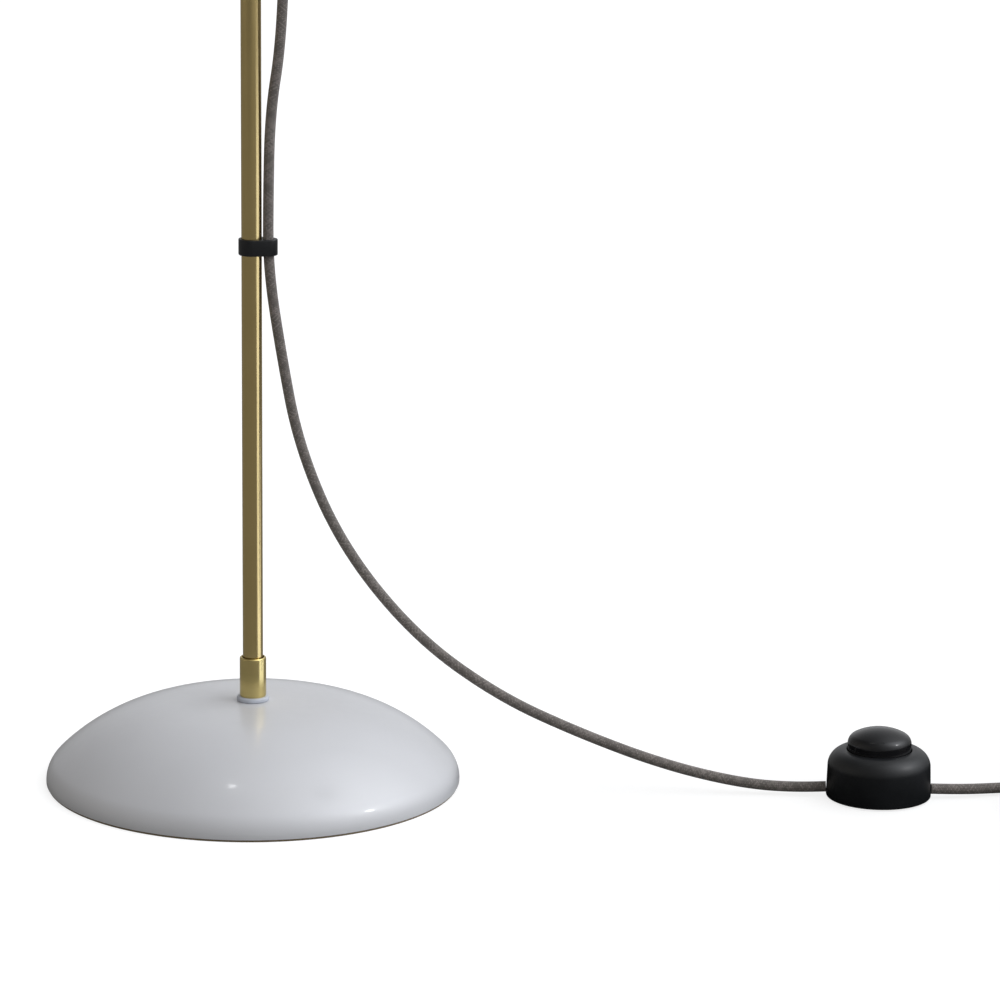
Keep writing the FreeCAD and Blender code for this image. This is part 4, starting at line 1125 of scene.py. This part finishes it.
studio = {
    "floorSize": 14.0,
    "floorPale": (0.34, 0.34, 0.34),
    "floorGlow": 0.80,
    "floorBounce": (0.30, 0.295, 0.285),
    # soft patches: azimuth from the camera's side towards the right, elevation, strength, falloff, tint
    "sky": [
        (0, 50, 0.30, 4, (1.0, 1.0, 1.0)),
        (45, 8, 0.62, 4, (0.97, 0.99, 1.02)),
        (90, 8, 0.35, 4, (0.97, 0.99, 1.02)),
        (90, 50, 1.25, 4, (0.97, 0.99, 1.02)),
        (88, 46, 2.5, 10, (0.96, 0.99, 1.05)),
        (180, 50, 0.15, 4, (1.0, 1.0, 1.0)),
        (180, 8, 0.66, 4, (0.98, 0.99, 1.02)),
        (270, 8, 0.40, 4, (1.04, 0.99, 0.93)),
        (315, 8, 0.22, 4, (1.04, 0.99, 0.93)),
    ],
    "backdrop": (1.0, 1.0, 1.0),
    "card": (0.13, 3.8, -27, 18),    # nearest and furthest reach, first and last angle
    "cardHeight": 0.002,
    "cardLights": ("lowerPole", "upperPole", "poleJoint", "poleFerrule"),
    "cardTint": (1.0, 1.08, 1.30),
    "cardGlow": 1.7,
    # small lamps that only show as highlights: place, width and power
    "highlights": [((2.75, -0.45, 1.95), 0.22, 11.0), ((-0.35, 0.05, 3.0), 0.11, 1.1)],
}


def bareMaterial(name):
    material = bpy.data.materials.new(name)
    material.use_nodes = True
    material.node_tree.nodes.clear()
    return material, material.node_tree


def studioPiece(name, bm, material):
    mesh = bpy.data.meshes.new(name)
    bm.to_mesh(mesh)
    bm.free()
    mesh.materials.append(material)
    piece = bpy.data.objects.new(name, mesh)
    bpy.context.scene.collection.objects.link(piece)
    return piece


# the camera sees a glowing floor; the lamp gets a plain pale one
def makeFloor():
    material, tree = bareMaterial("paleFloor")
    pale = addNode(tree, "ShaderNodeBsdfDiffuse", Color=(*studio["floorPale"], 1))
    glow = addNode(tree, "ShaderNodeEmission", Color=(1, 1, 1, 1), Strength=studio["floorGlow"])
    seen = addNode(tree, "ShaderNodeAddShader", i0=pale.outputs[0], i1=glow.outputs[0])
    bounce = addNode(tree, "ShaderNodeBsdfDiffuse", Color=(*studio["floorBounce"], 1))
    light = addNode(tree, "ShaderNodeLightPath")
    either = addNode(tree, "ShaderNodeMixShader", i0=light.outputs["Is Camera Ray"], i1=bounce.outputs[0],
                     i2=seen.outputs[0])
    out = addNode(tree, "ShaderNodeOutputMaterial")
    tree.links.new(either.outputs[0], out.inputs["Surface"])
    bm = bmesh.new()
    bmesh.ops.create_grid(bm, x_segments=1, y_segments=1, size=studio["floorSize"])
    floor = studioPiece("floor", bm, material)


# a bright card lying to the right, seen only in the polished pole
def makeCard():
    material, tree = bareMaterial("cardGlow")
    glow = addNode(tree, "ShaderNodeEmission", Color=(*studio["cardTint"], 1), Strength=studio["cardGlow"])
    out = addNode(tree, "ShaderNodeOutputMaterial")
    tree.links.new(glow.outputs[0], out.inputs["Surface"])
    near, far, start, end = studio["card"]
    bm = bmesh.new()
    first, last = (bm.verts.new((reach, 0, studio["cardHeight"])) for reach in (near, far))
    edge = bm.edges.new((first, last))
    bmesh.ops.rotate(bm, matrix=Matrix.Rotation(math.radians(start), 3, "Z"), verts=bm.verts)
    bmesh.ops.spin(bm, geom=[first, last, edge], axis=(0, 0, 1), angle=math.radians(end - start), steps=8)
    card = studioPiece("card", bm, material)
    card.visible_camera = False
    card.visible_diffuse = False
    lit = bpy.data.collections.new("litByCard")
    for name in studio["cardLights"]:
        lit.objects.link(bpy.data.objects[name])
    card.light_linking.receiver_collection = lit


def makeSky():
    world = bpy.data.worlds.new("studioSky")
    bpy.context.scene.world = world
    world.use_nodes = True
    tree = world.node_tree
    tree.nodes.clear()
    coords = addNode(tree, "ShaderNodeTexCoord")
    total = (0.0, 0.0, 0.0)
    for azimuth, elevation, strength, falloff, tint in studio["sky"]:
        around, above = math.radians(azimuth), math.radians(elevation)
        towards = (math.sin(around) * math.cos(above), -math.cos(around) * math.cos(above), math.sin(above))
        facing = addNode(tree, "ShaderNodeVectorMath", {"operation": "DOT_PRODUCT"},
                         i0=coords.outputs["Generated"], i1=towards)
        lit = addNode(tree, "ShaderNodeMath", {"operation": "MAXIMUM"}, i0=facing.outputs["Value"], i1=0.0)
        patch = addNode(tree, "ShaderNodeMath", {"operation": "POWER"}, i0=lit.outputs[0], i1=falloff)
        glow = tuple(strength * part for part in tint)
        added = addNode(tree, "ShaderNodeVectorMath", {"operation": "MULTIPLY_ADD"},
                        i0=patch.outputs[0], i1=glow, i2=total)
        total = added.outputs[0]
    soft = addNode(tree, "ShaderNodeBackground", Color=total, Strength=1.0)
    seen = addNode(tree, "ShaderNodeBackground", Color=(*studio["backdrop"], 1), Strength=1.0)
    light = addNode(tree, "ShaderNodeLightPath")
    either = addNode(tree, "ShaderNodeMixShader", i0=light.outputs["Is Camera Ray"], i1=soft.outputs[0],
                     i2=seen.outputs[0])
    out = addNode(tree, "ShaderNodeOutputWorld")
    tree.links.new(either.outputs[0], out.inputs["Surface"])


def makeHighlights():
    for n, (place, width, power) in enumerate(studio["highlights"]):
        data = bpy.data.lights.new(f"highlight{n + 1}", "AREA")
        data.size = width
        data.energy = power
        light = bpy.data.objects.new(f"highlight{n + 1}", data)
        bpy.context.scene.collection.objects.link(light)
        facing = Vector(place).to_track_quat("Z", "Y").to_matrix().to_4x4()
        light.matrix_world = Matrix.Translation(place) @ facing
        light.visible_camera = False
        light.visible_diffuse = False


makeFloor()
makeCard()
makeSky()
makeHighlights()
bpy.context.scene.view_settings.view_transform = "Standard"
print("studio set")
